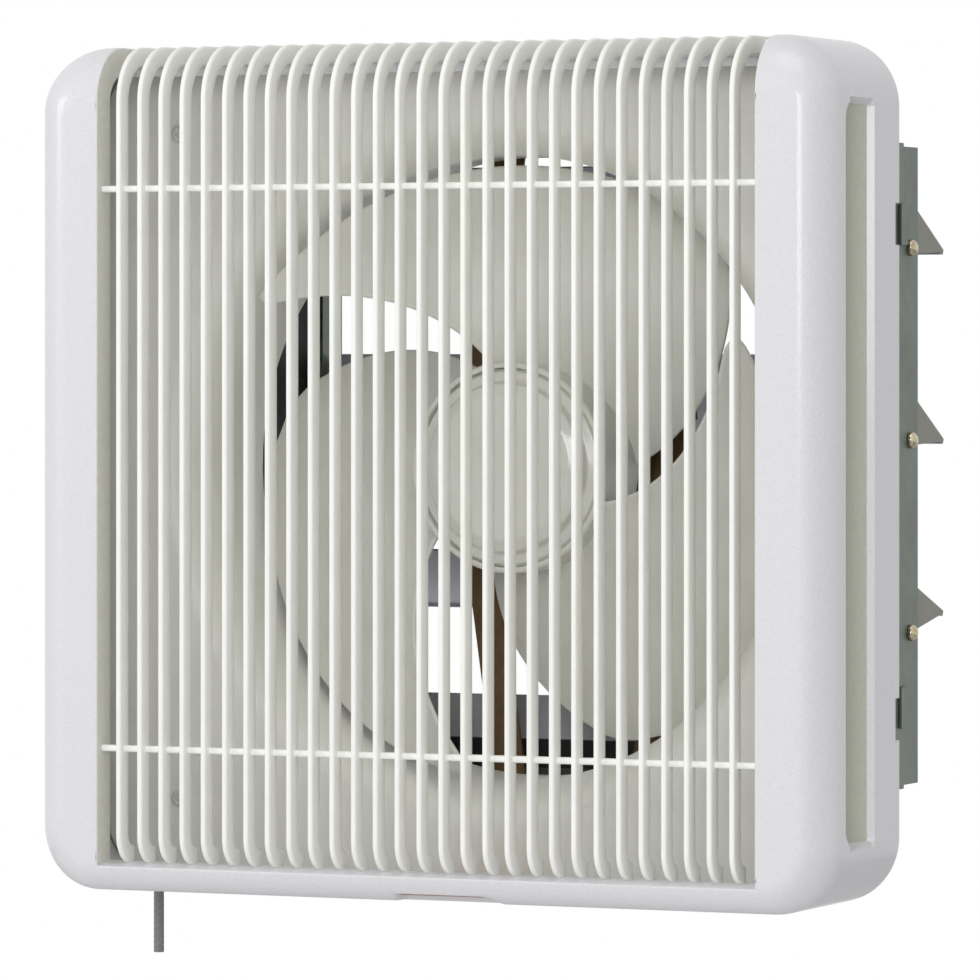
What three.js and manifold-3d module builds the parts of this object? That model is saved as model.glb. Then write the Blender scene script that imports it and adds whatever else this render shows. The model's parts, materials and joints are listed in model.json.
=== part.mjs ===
// A 25 cm window exhaust fan: a slatted cover, a pull switch, a square sheet-metal casing that goes through the
// wall, a three-bladed impeller on its motor, and a linked rear shutter.
// Millimetres, +Z up. X runs across the fan, Y runs into the wall, and the room side faces -Y.
// The origin is the middle of the cover's rim, in the plane of the wall.
import * as THREE from 'three';
import { mergeVertices } from 'three/addons/utils/BufferGeometryUtils.js';
import Module from 'manifold-3d';

const wasm = await Module();
wasm.setup();

// ---------- driving dimensions, mm and degrees ----------
const seatGap = 0.3; // between two pieces that seat on each other

const coverWidth = 366;
const coverHeight = 360;
const coverDepth = 81;
const coverWall = 2.5;
const coverCorner = 28; // corner radius seen from the front
const coverSideRound = 15; // the side round's reach across the front
const coverSideDepth = 19; // and its reach along the side
const coverTopRound = 24;
const coverBottomRound = 13;
const railHeight = 11; // plain strip under the slats
const openingLip = 12; // depth of the flange round the slatted opening
const gripDepth = 7; // at the grip's front edge
const gripDepthRear = 3;
const gripFront = 62; // the grip's front and rear edges, measured from the wall
const gripRear = 29;
const gripHeight = 305;
const gripCorner = 9;
const gripCornerRear = 1.2;
const notchWidth = 45;
const notchHeight = 3.5;
const notchCentre = 8;
const trayHeight = 3; // the oil tray behind the notch
const trayWall = 1.2;

const slatPitch = 10.03;
const slatCount = 29;
const slatThickness = 2.4;
const slatDepth = 8;
const slatReturn = 37; // how far the slats run back over the top
const crossbarHeight = 2.8;
const crossbarDepth = 4;
const crossbarSetback = 3.5;
const crossbarSpacing = 238;

const panelFront = 16; // the panel's face, in front of the wall
const panelWall = 2.2;
const panelBoss = 4.5;
const screwRadius = 2;
const screwHead = 3.6;
const screwHeadHeight = 2;
const throatRadius = 134;
const throatWall = 1.2;
const throatDepth = 34; // how far the throat reaches behind the wall plane
const mouthReach = 18; // the bell mouth's elliptical round, across and along the axis
const mouthDepth = 34;

const casingInner = 139; // half the casing's inner width and height
const casingWall = 1.5;
const casingDepth = 119.2;
const flangeHalf = 152;
const flangeThickness = 1.5;
const flangeHoleRadius = 2.6;
const flangeHoleSpacing = 288;
const wallHoleSpacing = 120; // the wood screws' holes in each side of the flange

const impellerRadius = 130;
const bladeThickness = 2.2;
const bladeSpan = 98; // degrees
const bladeSweep = 0.51; // degrees of forward sweep for each millimetre of radius
const bladeLead = 105; // leading edge at the hub, degrees
const bladeLeadTip = -15; // Y of the leading edge at the tip
const bladeLeadRoot = 14;
const bladeTrailTip = 50;
const bladeTrailRoot = 46;
const bladeCamber = 0.82;
const hubRadius = 45.5;
const hubWall = 2.4;
const hubFront = 10;
const hubRear = 48;
const hubWeb = 24;
const spinnerFront = 4;
const spinnerFaceRadius = 36;

const shaftRadius = 4;
const shaftFront = 12;
const motorRadius = 38;
const motorWall = 1.6;
const motorFront = 50;
const motorSplit = 72;
const motorRear = 93;
const motorFlange = 47;
const bearingRadius = 9;
const bearingWidth = 7;
const statorInner = 21;
const statorLength = 20;
const statorSlots = 8;
const statorSlotWidth = 6.8;
const statorYoke = 5; // the solid ring outside the slots
const coilHeight = 4;
const coilBand = 10;
const airGap = 0.6;

const bracketY = 86;
const bracketThickness = 2;
const bracketRing = 53;
const legTop = 49; // half the distance between the legs at the motor
const legFoot = 32.5; // the same at the casing wall
const legStart = 20; // from the axis to where the legs join the ring
const legWidth = 15;
const footLength = 16;

const frameHalfWidth = 140;
const frameHalfHeight = 139;
const frameFront = 119.5;
const frameRear = 138;
const frameSheet = 1.2;
const frameMouth = 136; // half its inner width and height where it meets the casing
const sillHeight = 34.5;
const tabHeight = 18; // the tabs that hook over the casing's sides
const tabReach = 7;
const tabRise = 105;
const rimNotchDepth = 4.5; // the cover's rim is notched beside each tab
const rimNotchHeight = 17.5;
const rimNotchRise = 103;

const pinPitch = 84;
const pinTop = 95;
const pinY = 128;
const pinRadius = 2;
const pinHeadRadius = 3.6;
const pinHeadHeight = 3.4;
const shutterOuter = 49.5; // from the pin's foot to the blade's outer edge
const shutterInner = 33.5;
const shutterInnerTop = 32; // the top blade is shorter, to swing under the frame
const shutterOffset = 25; // from the pin to the blade's sheet
const shutterSheet = 0.8;
const shutterHalfWidth = 135.4;
const shutterLip = 2.5;
const earRadius = 6;
const cheekThickness = 1.2;
const cheekTip = 1.2; // the cheeks' depth at the blade's outer and inner edges
const cheekInner = 12;
const restAngles = [27, 27, 19]; // how far each blade hangs below level when open
const crankRadius = 33.1;
const crankAngle = 128;
const crankRadiusLow = 29.8;
const crankAngleLow = 132;
const studRadius = 2;
const linkWidth = 9;
const linkThickness = 1.2;
const linkGap = 1; // between the left cheeks and the link bar
const linkPlay = 0.9; // the open pivots of the middle and lower blades
const crankLug = 5;

const cordInset = 25; // from the cover's left side
const cordX = cordInset - coverWidth / 2;
const cordY = -8;
const cordRadius = 2.25;
const cordLength = 62;
const cordGrip = 13; // how far the cord reaches up into the switch
const switchWidth = 18;
const switchDepth = 10;
const switchHeight = 44;
const switchRise = 17; // above the cover's underside
const switchBottom = switchRise - coverHeight / 2;
const cordTop = switchBottom + cordGrip;
const cordEnd = cordTop - cordLength;
const switchWall = 1.5;
const sliderStem = 8; // the slider's neck, which grips the cord
const sliderHeight = 6;
const terminalGap = 8; // between the switch and the terminal block
const terminalPitch = 10;
const guideRadius = 4.1;
const guideFlange = 5.3;
const guideBore = 2.8;
const guidePad = 5; // the panel's flat pad under the cord guide
const cordSlot = 13; // the cover's slot for the cord, from the wall
const cordSlotWidth = 6.6;

const circle = 40; // facets round the big circles
const motorCircle = 24;
const smallCircle = 12;
const arcSteps = 3; // each quarter turn of an outline gets twice as many facets

// ---------- making and joining closed bodies ----------
function solidOf(geometry) {
  const bare = geometry.clone();
  bare.deleteAttribute('normal');
  bare.deleteAttribute('uv');
  const merged = mergeVertices(bare, 1e-4);
  const index = merged.index.array;
  const kept = [];
  for (let i = 0; i < index.length; i += 3) {
    const [a, b, c] = [index[i], index[i + 1], index[i + 2]];
    if (a !== b && b !== c && c !== a) kept.push(a, b, c);
  }
  const build = (triVerts) => new wasm.Manifold(new wasm.Mesh({
    numProp: 3,
    vertProperties: new Float32Array(merged.attributes.position.array),
    triVerts: new Uint32Array(triVerts),
  }));
  const solid = build(kept);
  return solid.volume() < 0 ? build(kept.reverse()) : solid;
}

function geometryOf(solid) {
  const mesh = solid.getMesh();
  const geometry = new THREE.BufferGeometry();
  geometry.setAttribute('position', new THREE.BufferAttribute(new Float32Array(mesh.vertProperties), 3));
  geometry.setIndex(new THREE.BufferAttribute(new Uint32Array(mesh.triVerts), 1));
  geometry.computeVertexNormals();
  return geometry;
}

const join = (...solids) => solids.reduce((all, next) => all.add(next));
const cut = (solid, ...tools) => tools.reduce((all, next) => all.subtract(next), solid);

function box(x0, x1, y0, y1, z0, z1) {
  const geometry = new THREE.BoxGeometry(x1 - x0, y1 - y0, z1 - z0);
  geometry.translate((x0 + x1) / 2, (y0 + y1) / 2, (z0 + z1) / 2);
  return solidOf(geometry);
}

const flat = { bevelEnabled: false };

// A shape drawn in X and Z, from y0 to y1.
function alongY(shape, y0, y1, curveSegments = arcSteps) {
  const geometry = new THREE.ExtrudeGeometry(shape, { ...flat, depth: y1 - y0, curveSegments });
  geometry.rotateX(Math.PI / 2);
  geometry.translate(0, y1, 0);
  return solidOf(geometry);
}

// A shape drawn in Y and Z, from x0 to x1.
function alongX(shape, x0, x1, curveSegments = arcSteps) {
  const geometry = new THREE.ExtrudeGeometry(shape, { ...flat, depth: x1 - x0, curveSegments });
  geometry.applyMatrix4(new THREE.Matrix4().makeBasis(
    new THREE.Vector3(0, 1, 0), new THREE.Vector3(0, 0, 1), new THREE.Vector3(1, 0, 0)));
  geometry.translate(x0, 0, 0);
  return solidOf(geometry);
}

// A shape drawn in X and Y, from z0 to z1.
function alongZ(shape, z0, z1, curveSegments = arcSteps) {
  const geometry = new THREE.ExtrudeGeometry(shape, { ...flat, depth: z1 - z0, curveSegments });
  geometry.translate(0, 0, z0);
  return solidOf(geometry);
}

// A closed profile of [radius, y] points, turned about the fan's axis.
function turned(profile, segments = circle) {
  const points = profile.map(([r, y]) => new THREE.Vector2(r, y));
  const geometry = new THREE.LatheGeometry(points, segments);
  return solidOf(geometry);
}

function ring(outer, inner, y0, y1, segments = circle) {
  return turned([[inner, y0], [outer, y0], [outer, y1], [inner, y1], [inner, y0]], segments);
}

function disc(radius, y0, y1, segments = circle) {
  return turned([[0, y0], [radius, y0], [radius, y1], [0, y1]], segments);
}

// A round bar along Y, X or Z, from a to b, through the other two coordinates.
function rod(axis, radius, a, b, p, q, segments = smallCircle) {
  const geometry = new THREE.CylinderGeometry(radius, radius, b - a, segments);
  if (axis === 'x') geometry.rotateZ(Math.PI / 2).translate((a + b) / 2, p, q);
  if (axis === 'y') geometry.translate(p, (a + b) / 2, q);
  if (axis === 'z') geometry.rotateX(Math.PI / 2).translate(p, q, (a + b) / 2);
  return solidOf(geometry);
}

// A rectangle with its own radius at each corner: lower left, lower right, upper right, upper left.
function roundedRect(x0, x1, y0, y1, radii) {
  const [ll, lr, ur, ul] = Array.isArray(radii) ? radii : [radii, radii, radii, radii];
  const shape = new THREE.Shape();
  shape.moveTo(x0 + ll, y0);
  shape.lineTo(x1 - lr, y0);
  if (lr > 0) shape.absarc(x1 - lr, y0 + lr, lr, -Math.PI / 2, 0, false);
  shape.lineTo(x1, y1 - ur);
  if (ur > 0) shape.absarc(x1 - ur, y1 - ur, ur, 0, Math.PI / 2, false);
  shape.lineTo(x0 + ul, y1);
  if (ul > 0) shape.absarc(x0 + ul, y1 - ul, ul, Math.PI / 2, Math.PI, false);
  shape.lineTo(x0, y0 + ll);
  if (ll > 0) shape.absarc(x0 + ll, y0 + ll, ll, Math.PI, 1.5 * Math.PI, false);
  return shape;
}

// ---------- cover ----------
const halfWidth = coverWidth / 2;
const halfHeight = coverHeight / 2;
const openingHalf = (slatCount + 1) * slatPitch / 2;
const openingBottom = -halfHeight + railHeight;
const openingTopEnd = -coverDepth + slatReturn;
const behind = 20; // how far cutting tools run past a face

// The cover's rounded block, drawn in by `inset` on every side but the open back.
function coverBlock(inset) {
  const w = halfWidth - inset;
  const h = halfHeight - inset;
  const front = -coverDepth + inset;
  const back = inset > 0 ? behind : 0;
  const less = (radius) => Math.max(radius - inset, 1);
  const outline = alongY(roundedRect(-w, w, -h, h, less(coverCorner)), front, back);
  const side = alongX(roundedRect(front, back, -h, h,
    [less(coverBottomRound), 0, 0, less(coverTopRound)]), -w, w);
  return outline.intersect(side).intersect(alongZ(planOutline(inset, back), -h, h));
}

// The cover seen from above: each side round meets the front face in a slight ridge.
function planOutline(inset, back) {
  const w = halfWidth - inset;
  const radius = (coverSideRound ** 2 + coverSideDepth ** 2) / (2 * coverSideRound);
  const middle = -coverDepth + coverSideDepth;
  const end = Math.asin((coverSideDepth - inset) / (radius - inset));
  const shape = new THREE.Shape();
  shape.moveTo(w, back);
  shape.lineTo(w, middle);
  shape.absarc(halfWidth - radius, middle, radius - inset, 0, -end, true);
  shape.absarc(radius - halfWidth, middle, radius - inset, end - Math.PI, -Math.PI, true);
  shape.lineTo(-w, back);
  return shape;
}

// The hand grip's hollow on the right, deepest at its front edge, with `wall` added all round.
function gripHollow(wall) {
  const corner = gripCorner + wall;
  const rear = gripCornerRear + wall;
  const inner = halfWidth - gripDepth - wall;
  const floor = new THREE.Shape();
  floor.moveTo(inner, -gripFront - wall);
  floor.lineTo(halfWidth + behind, -gripFront - wall);
  floor.lineTo(halfWidth + behind, -gripRear + wall);
  floor.lineTo(halfWidth - gripDepthRear - wall, -gripRear + wall);
  floor.lineTo(inner, -gripFront);
  const end = gripHeight / 2 + wall;
  return alongX(roundedRect(-gripFront - wall, -gripRear + wall, -end, end, [corner, rear, rear, corner]),
    inner, halfWidth + behind).intersect(alongZ(floor, -end, end));
}

function coverShell() {
  const grips = [gripHollow(0), gripHollow(0).mirror([1, 0, 0])];
  const pockets = [gripHollow(coverWall), gripHollow(coverWall).mirror([1, 0, 0])]
    .map((pocket) => pocket.intersect(coverBlock(0)));
  const lipBack = -coverDepth + openingLip;
  const lip = join(
    box(-openingHalf - coverWall, -openingHalf, -coverDepth + 1, lipBack, openingBottom, halfHeight - 1),
    box(openingHalf, openingHalf + coverWall, -coverDepth + 1, lipBack, openingBottom, halfHeight - 1),
    box(-openingHalf - coverWall, openingHalf + coverWall, -coverDepth + 1, lipBack,
      openingBottom - coverWall, openingBottom),
    box(-openingHalf - coverWall, -openingHalf, -coverDepth + 1, openingTopEnd,
      halfHeight - openingLip, halfHeight - 1),
    box(openingHalf, openingHalf + coverWall, -coverDepth + 1, openingTopEnd,
      halfHeight - openingLip, halfHeight - 1),
  ).intersect(coverBlock(0));
  const opening = box(-openingHalf, openingHalf, -coverDepth - behind, openingTopEnd,
    openingBottom, halfHeight + behind)
    .subtract(box(-openingHalf - 1, openingHalf + 1, -coverDepth + coverTopRound, behind,
      -halfHeight, halfHeight - 2 * coverWall));
  const cordWay = alongZ(roundedRect(cordX - cordSlotWidth / 2, cordX + cordSlotWidth / 2,
    -cordSlot, behind, [3, 3, 0, 0]), -halfHeight - behind, -halfHeight + coverWall + 1);
  const notch = box(notchCentre - notchWidth / 2, notchCentre + notchWidth / 2,
    -coverDepth - behind, -coverDepth + coverBottomRound + 4, -halfHeight - behind, -halfHeight + notchHeight);
  const rimNotches = [-rimNotchRise, rimNotchRise].map((z) => box(-halfWidth - 1, halfWidth + 1,
    -rimNotchDepth, behind, z - rimNotchHeight / 2, z + rimNotchHeight / 2));
  const shell = join(coverBlock(0).subtract(coverBlock(coverWall)), lip, ...pockets);
  return cut(shell, ...grips, opening, cordWay, notch, ...rimNotches);
}

// One slat's outline in Y and Z: up the front, over the top and a short way back.
function slatOutline() {
  const front = -coverDepth;
  const top = halfHeight;
  const low = openingBottom + seatGap;
  const inner = slatDepth;
  const foot = Math.max(coverBottomRound, slatDepth + 2);
  const shape = new THREE.Shape();
  shape.moveTo(front + foot, low);
  shape.absarc(front + foot, low + foot, foot, -Math.PI / 2, -Math.PI, true);
  shape.lineTo(front, top - coverTopRound);
  shape.absarc(front + coverTopRound, top - coverTopRound, coverTopRound, Math.PI, Math.PI / 2, true);
  shape.lineTo(openingTopEnd - seatGap, top);
  shape.lineTo(openingTopEnd - seatGap, top - inner);
  shape.lineTo(front + coverTopRound, top - inner);
  shape.absarc(front + coverTopRound, top - coverTopRound, coverTopRound - inner, Math.PI / 2, Math.PI, false);
  shape.lineTo(front + inner, low + foot);
  shape.absarc(front + foot, low + foot, foot - inner, Math.PI, 1.5 * Math.PI, false);
  return shape;
}

function grilleSlats() {
  const outline = slatOutline();
  const slats = [];
  for (let i = 0; i < slatCount; i += 1) {
    const x = (i - (slatCount - 1) / 2) * slatPitch;
    slats.push(alongX(outline, x - slatThickness / 2, x + slatThickness / 2));
  }
  const end = openingHalf - seatGap;
  const barFront = -coverDepth + crossbarSetback;
  const bar = (z) => box(-end, end, barFront, barFront + crossbarDepth,
    z - crossbarHeight / 2, z + crossbarHeight / 2);
  const topRail = box(-end, end, openingTopEnd - seatGap - coverWall, openingTopEnd - seatGap,
    halfHeight - slatDepth, halfHeight - 1);
  return join(...slats, bar(-crossbarSpacing / 2), bar(crossbarSpacing / 2), topRail);
}

// ---------- panel with the fan's round mouth ----------
function mouthProfile() {
  const steps = 6;
  const outer = [];
  const inner = [];
  const centreY = -panelFront + mouthDepth;
  for (let i = 0; i <= steps; i += 1) {
    const a = (i / steps) * Math.PI / 2;
    inner.push([throatRadius + mouthReach * (1 - Math.sin(a)), centreY - mouthDepth * Math.cos(a)]);
    outer.push([throatRadius + mouthReach - (mouthReach - throatWall) * Math.sin(a),
      centreY - (mouthDepth - throatWall) * Math.cos(a)]);
  }
  return [...inner, [throatRadius, throatDepth], [throatRadius + throatWall, throatDepth],
    ...outer.reverse(), inner[0]];
}

function panelScrewPlaces() {
  const reach = flangeHoleSpacing / 2;
  return [[-reach, -reach], [reach, -reach], [reach, reach], [-reach, reach]];
}

function orificePanel() {
  const w = halfWidth - coverWall - seatGap;
  const h = halfHeight - coverWall - seatGap;
  const corner = coverCorner - coverWall - seatGap;
  const rimBack = -flangeThickness - seatGap;
  const block = alongY(roundedRect(-w, w, -h, h, corner), -panelFront, rimBack);
  const tray = block.subtract(alongY(roundedRect(-w + panelWall, w - panelWall, -h + panelWall, h - panelWall,
    corner - panelWall), -panelFront + panelWall, behind));
  const places = panelScrewPlaces();
  const bosses = places.map(([x, z]) => rod('y', panelBoss, -panelFront + 1, rimBack, x, z));
  const holes = places.map(([x, z]) => rod('y', screwRadius + seatGap, -panelFront - 1, behind, x, z));
  const hole = disc(throatRadius + mouthReach, -panelFront - 1, -panelFront + panelWall + 1);
  const pad = box(cordX - guideFlange - 1, cordX + guideFlange + 1, -panelFront + 1, rimBack, -h, -h + guidePad)
    .intersect(block);
  const guideHole = rod('z', guideRadius + seatGap, -halfHeight, -h + guidePad + 1, cordX, cordY);
  return cut(join(cut(tray, hole), turned(mouthProfile()), ...bosses, pad), ...holes, guideHole);
}

// A screw whose head bears on a face at `seat`, and whose shank runs in to `tip`.
function screw(x, z, seat, tip) {
  return join(rod('y', screwRadius, seat - 1, tip, x, z),
    rod('y', screwHead, seat - seatGap - screwHeadHeight, seat - seatGap, x, z, 16));
}

function oilTray() {
  const half = notchWidth / 2 - 0.5;
  const z0 = -halfHeight + coverWall + seatGap;
  const y0 = -coverDepth + coverWall + coverBottomRound / 2;
  const y1 = -panelFront - seatGap;
  const hollow = half - trayWall;
  return box(notchCentre - half, notchCentre + half, y0, y1, z0, z0 + trayHeight)
    .subtract(box(notchCentre - hollow, notchCentre + hollow, y0 + trayWall, y1 - trayWall, z0 + trayWall, 0));
}

// ---------- casing through the wall ----------
function bodyCasing() {
  const outer = casingInner + casingWall;
  const tube = box(-outer, outer, -flangeThickness, casingDepth, -outer, outer);
  const flange = alongY(roundedRect(-flangeHalf, flangeHalf, -flangeHalf, flangeHalf, 10), -flangeThickness, 0);
  const bore = box(-casingInner, casingInner, -behind, casingDepth + behind, -casingInner, casingInner);
  const holes = panelScrewPlaces().map(([x, z]) => rod('y', flangeHoleRadius, -behind, behind, x, z));
  const reach = flangeHoleSpacing / 2;
  const rise = wallHoleSpacing / 2;
  const wallHoles = [[-reach, -rise], [-reach, rise], [reach, -rise], [reach, rise]]
    .map(([x, z]) => rod('y', flangeHoleRadius, -behind, behind, x, z));
  return cut(join(tube, flange), bore, ...holes, ...wallHoles);
}

// ---------- impeller ----------
const radians = (degrees) => degrees * Math.PI / 180;
const rootRadius = hubRadius - hubWall / 2;

// A point of the blade's middle surface: s runs from the leading to the trailing edge, t from hub to tip.
function bladePoint(s, t, turn) {
  const r = THREE.MathUtils.lerp(rootRadius, impellerRadius, t);
  const lead = bladeLead + bladeSweep * (r - rootRadius);
  const angle = radians(lead - bladeSpan * s + turn);
  const front = THREE.MathUtils.lerp(bladeLeadRoot, bladeLeadTip, t);
  const rear = THREE.MathUtils.lerp(bladeTrailRoot, bladeTrailTip, t);
  const y = front + (rear - front) * s ** bladeCamber;
  return new THREE.Vector3(r * Math.cos(angle), y, r * Math.sin(angle));
}

function bladeSolid(turn) {
  const across = 14;
  const up = 5;
  const step = 1e-3;
  const faces = [1, -1].map((face) => {
    const rows = [];
    for (let j = 0; j <= up; j += 1) {
      for (let i = 0; i <= across; i += 1) {
        const s = Math.min(Math.max(i / across, step), 1 - step);
        const t = j / up;
        const point = bladePoint(s, t, turn);
        const ds = bladePoint(s + step, t, turn).sub(bladePoint(s - step, t, turn));
        const dt = bladePoint(s, t + step, turn).sub(bladePoint(s, t - step, turn));
        const normal = ds.cross(dt).normalize();
        rows.push(point.addScaledVector(normal, face * bladeThickness / 2));
      }
    }
    return rows;
  });
  const count = faces[0].length;
  const positions = faces.flat().flatMap((p) => p.toArray());
  const index = [];
  const at = (i, j, face) => face * count + j * (across + 1) + i;
  const quad = (a, b, c, d) => index.push(a, b, c, a, c, d);
  for (let j = 0; j < up; j += 1) {
    for (let i = 0; i < across; i += 1) {
      quad(at(i, j, 0), at(i + 1, j, 0), at(i + 1, j + 1, 0), at(i, j + 1, 0));
      quad(at(i, j, 1), at(i, j + 1, 1), at(i + 1, j + 1, 1), at(i + 1, j, 1));
    }
  }
  for (let i = 0; i < across; i += 1) {
    quad(at(i, 0, 0), at(i, 0, 1), at(i + 1, 0, 1), at(i + 1, 0, 0));
    quad(at(i, up, 1), at(i, up, 0), at(i + 1, up, 0), at(i + 1, up, 1));
  }
  for (let j = 0; j < up; j += 1) {
    quad(at(0, j, 1), at(0, j, 0), at(0, j + 1, 0), at(0, j + 1, 1));
    quad(at(across, j, 0), at(across, j, 1), at(across, j + 1, 1), at(across, j + 1, 0));
  }
  const geometry = new THREE.BufferGeometry();
  geometry.setAttribute('position', new THREE.Float32BufferAttribute(positions, 3));
  geometry.setIndex(index);
  return solidOf(geometry);
}

function impeller() {
  const bore = shaftRadius + seatGap;
  const skirt = ring(hubRadius, hubRadius - hubWall, hubFront, hubRear);
  const web = ring(hubRadius - 0.5, bore, hubWeb, hubWeb + hubWall);
  const boss = ring(bearingRadius, bore, hubWeb, hubRear - 2, smallCircle);
  const blades = [0, 120, 240].map(bladeSolid);
  const inside = disc(hubRadius - hubWall, hubWeb + hubWall, bladeTrailTip + behind);
  const insideFront = disc(hubRadius - hubWall, bladeLeadTip - behind, hubWeb);
  return cut(join(...blades), inside, insideFront).add(join(skirt, web, boss));
}

function spinner() {
  const rim = hubRadius - hubWall - seatGap;
  const back = hubWeb - seatGap;
  const wall = 2;
  const boss = bearingRadius - 1;
  return turned([
    [0, spinnerFront], [spinnerFaceRadius - 4, spinnerFront + 0.6], [spinnerFaceRadius, spinnerFront + 2.6],
    [spinnerFaceRadius + 1.2, spinnerFront + 6.5], [rim - 1.6, spinnerFront + 7.5], [rim, spinnerFront + 9.5],
    [rim, back], [rim - wall, back], [rim - wall, spinnerFront + 10.5],
    [spinnerFaceRadius - wall, spinnerFront + 9], [spinnerFaceRadius - wall, spinnerFront + 3.5],
    [boss, spinnerFront + 2.8], [boss, back], [shaftRadius + seatGap, back],
    [shaftRadius + seatGap, shaftFront - seatGap], [0, shaftFront - seatGap],
  ]);
}

// ---------- motor ----------
const bearingFrontY = motorFront + motorWall;
const bearingRearY = motorRear - motorWall - bearingWidth;
const statorFront = motorSplit - statorLength / 2;

function motorShell(front) {
  const inner = motorRadius - motorWall;
  const boreRadius = bearingRadius + seatGap;
  const far = front ? motorSplit - seatGap / 2 : motorSplit + seatGap / 2;
  const near = front ? motorFront : motorRear;
  const inward = front ? 1 : -1;
  const sort = (a, b) => [Math.min(a, b), Math.max(a, b)];
  const wall = ring(motorRadius, inner, ...sort(near, far), motorCircle);
  const end = ring(motorRadius, shaftRadius + 1, ...sort(near, near + inward * motorWall), motorCircle);
  const seat = ring(boreRadius + 2, boreRadius,
    ...sort(near + inward, near + inward * (motorWall + bearingWidth)), motorCircle);
  const shell = join(wall, end, seat);
  if (front) return shell;
  const flangeBack = bracketY - seatGap;
  const flange = ring(motorFlange, motorRadius - 1, flangeBack - bracketThickness, flangeBack, motorCircle);
  return cut(join(shell, flange), ...motorScrewHoles());
}

function motorScrewPlaces() {
  const r = (motorRadius + motorFlange) / 2 + 0.5;
  return [90, 210, 330].map((a) => [r * Math.cos(radians(a)), r * Math.sin(radians(a))]);
}

function motorScrewHoles() {
  return motorScrewPlaces().map(([x, z]) => rod('y', screwRadius + seatGap, 0, frameFront, x, z, 16));
}

function motorStator() {
  const outer = motorRadius - motorWall - seatGap;
  const half = statorSlotWidth / 2;
  const slots = [];
  for (let i = 0; i < statorSlots; i += 1) {
    const slot = box(statorInner - 2, outer - statorYoke,
      statorFront - 1, statorFront + statorLength + 1, -half, half);
    slots.push(slot.rotate([0, i * 360 / statorSlots, 0]));
  }
  return cut(ring(outer, statorInner, statorFront, statorFront + statorLength, motorCircle), ...slots);
}

function statorCoil(front) {
  const y = front ? statorFront - seatGap - coilHeight : statorFront + statorLength + seatGap;
  const r0 = statorInner + 2;
  const r1 = r0 + coilBand;
  return turned([[r0 + 1, y], [r1 - 1, y], [r1, y + 1.5], [r1, y + coilHeight], [r0, y + coilHeight],
    [r0, y + 1.5], [r0 + 1, y]], motorCircle);
}

function motorBracket() {
  const shape = new THREE.Shape();
  shape.absarc(0, 0, bracketRing, 0, 2 * Math.PI, false);
  let plate = alongY(shape, bracketY, bracketY + bracketThickness, motorCircle / 2);
  const wall = casingInner - seatGap;
  for (const side of [-1, 1]) {
    for (const end of [-1, 1]) {
      const top = side * legTop;
      const foot = side * legFoot;
      const half = legWidth / 2;
      const leg = new THREE.Shape();
      leg.moveTo(top - half, end * legStart);
      leg.lineTo(top + half, end * legStart);
      leg.lineTo(foot + half, end * wall);
      leg.lineTo(foot - half, end * wall);
      plate = plate.add(alongY(leg, bracketY, bracketY + bracketThickness));
      const z0 = end < 0 ? -wall : wall - bracketThickness;
      plate = plate.add(box(foot - half, foot + half, bracketY, bracketY + bracketThickness,
        z0, z0 + bracketThickness));
      plate = plate.add(box(foot - half, foot + half, bracketY - footLength, bracketY + 1,
        z0, z0 + bracketThickness));
    }
  }
  return cut(plate, disc(motorRadius + seatGap, bracketY - 5, bracketY + 5), ...motorScrewHoles());
}

// ---------- rear shutter ----------
const shutterNumbers = [0, 1, 2];
const pinHeights = shutterNumbers.map((i) => pinTop - i * pinPitch);

function shutterFrame() {
  const w = frameHalfWidth;
  const h = frameHalfHeight;
  const outer = box(-w, w, frameFront, frameRear, -h, h);
  const inner = box(-w + frameSheet, w - frameSheet, frameFront + frameSheet, behind + frameRear,
    -h + frameSheet, h - frameSheet);
  const mouth = box(-frameMouth, frameMouth, frameFront - 1, frameFront + frameSheet + 1,
    -frameMouth, frameMouth);
  const sill = box(-w + frameSheet / 2, w - frameSheet / 2, frameRear - frameSheet, frameRear,
    -h + frameSheet / 2, -h + sillHeight);
  const hook = casingInner + casingWall + seatGap;
  const tabs = [-tabRise, tabRise].flatMap((z) => {
    const [z0, z1] = [z - tabHeight / 2, z + tabHeight / 2];
    const tab = join(box(hook, hook + frameSheet, frameFront - tabReach, frameFront + frameSheet, z0, z1),
      box(w - frameSheet, hook + frameSheet, frameFront, frameFront + frameSheet, z0, z1));
    return [tab, tab.mirror([1, 0, 0])];
  });
  const holes = pinHeights.map((z) => rod('x', pinRadius + seatGap, -w - 1, w + 1, pinY, z, 16));
  return cut(join(cut(outer, inner, mouth), sill, ...tabs), ...holes);
}

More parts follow.
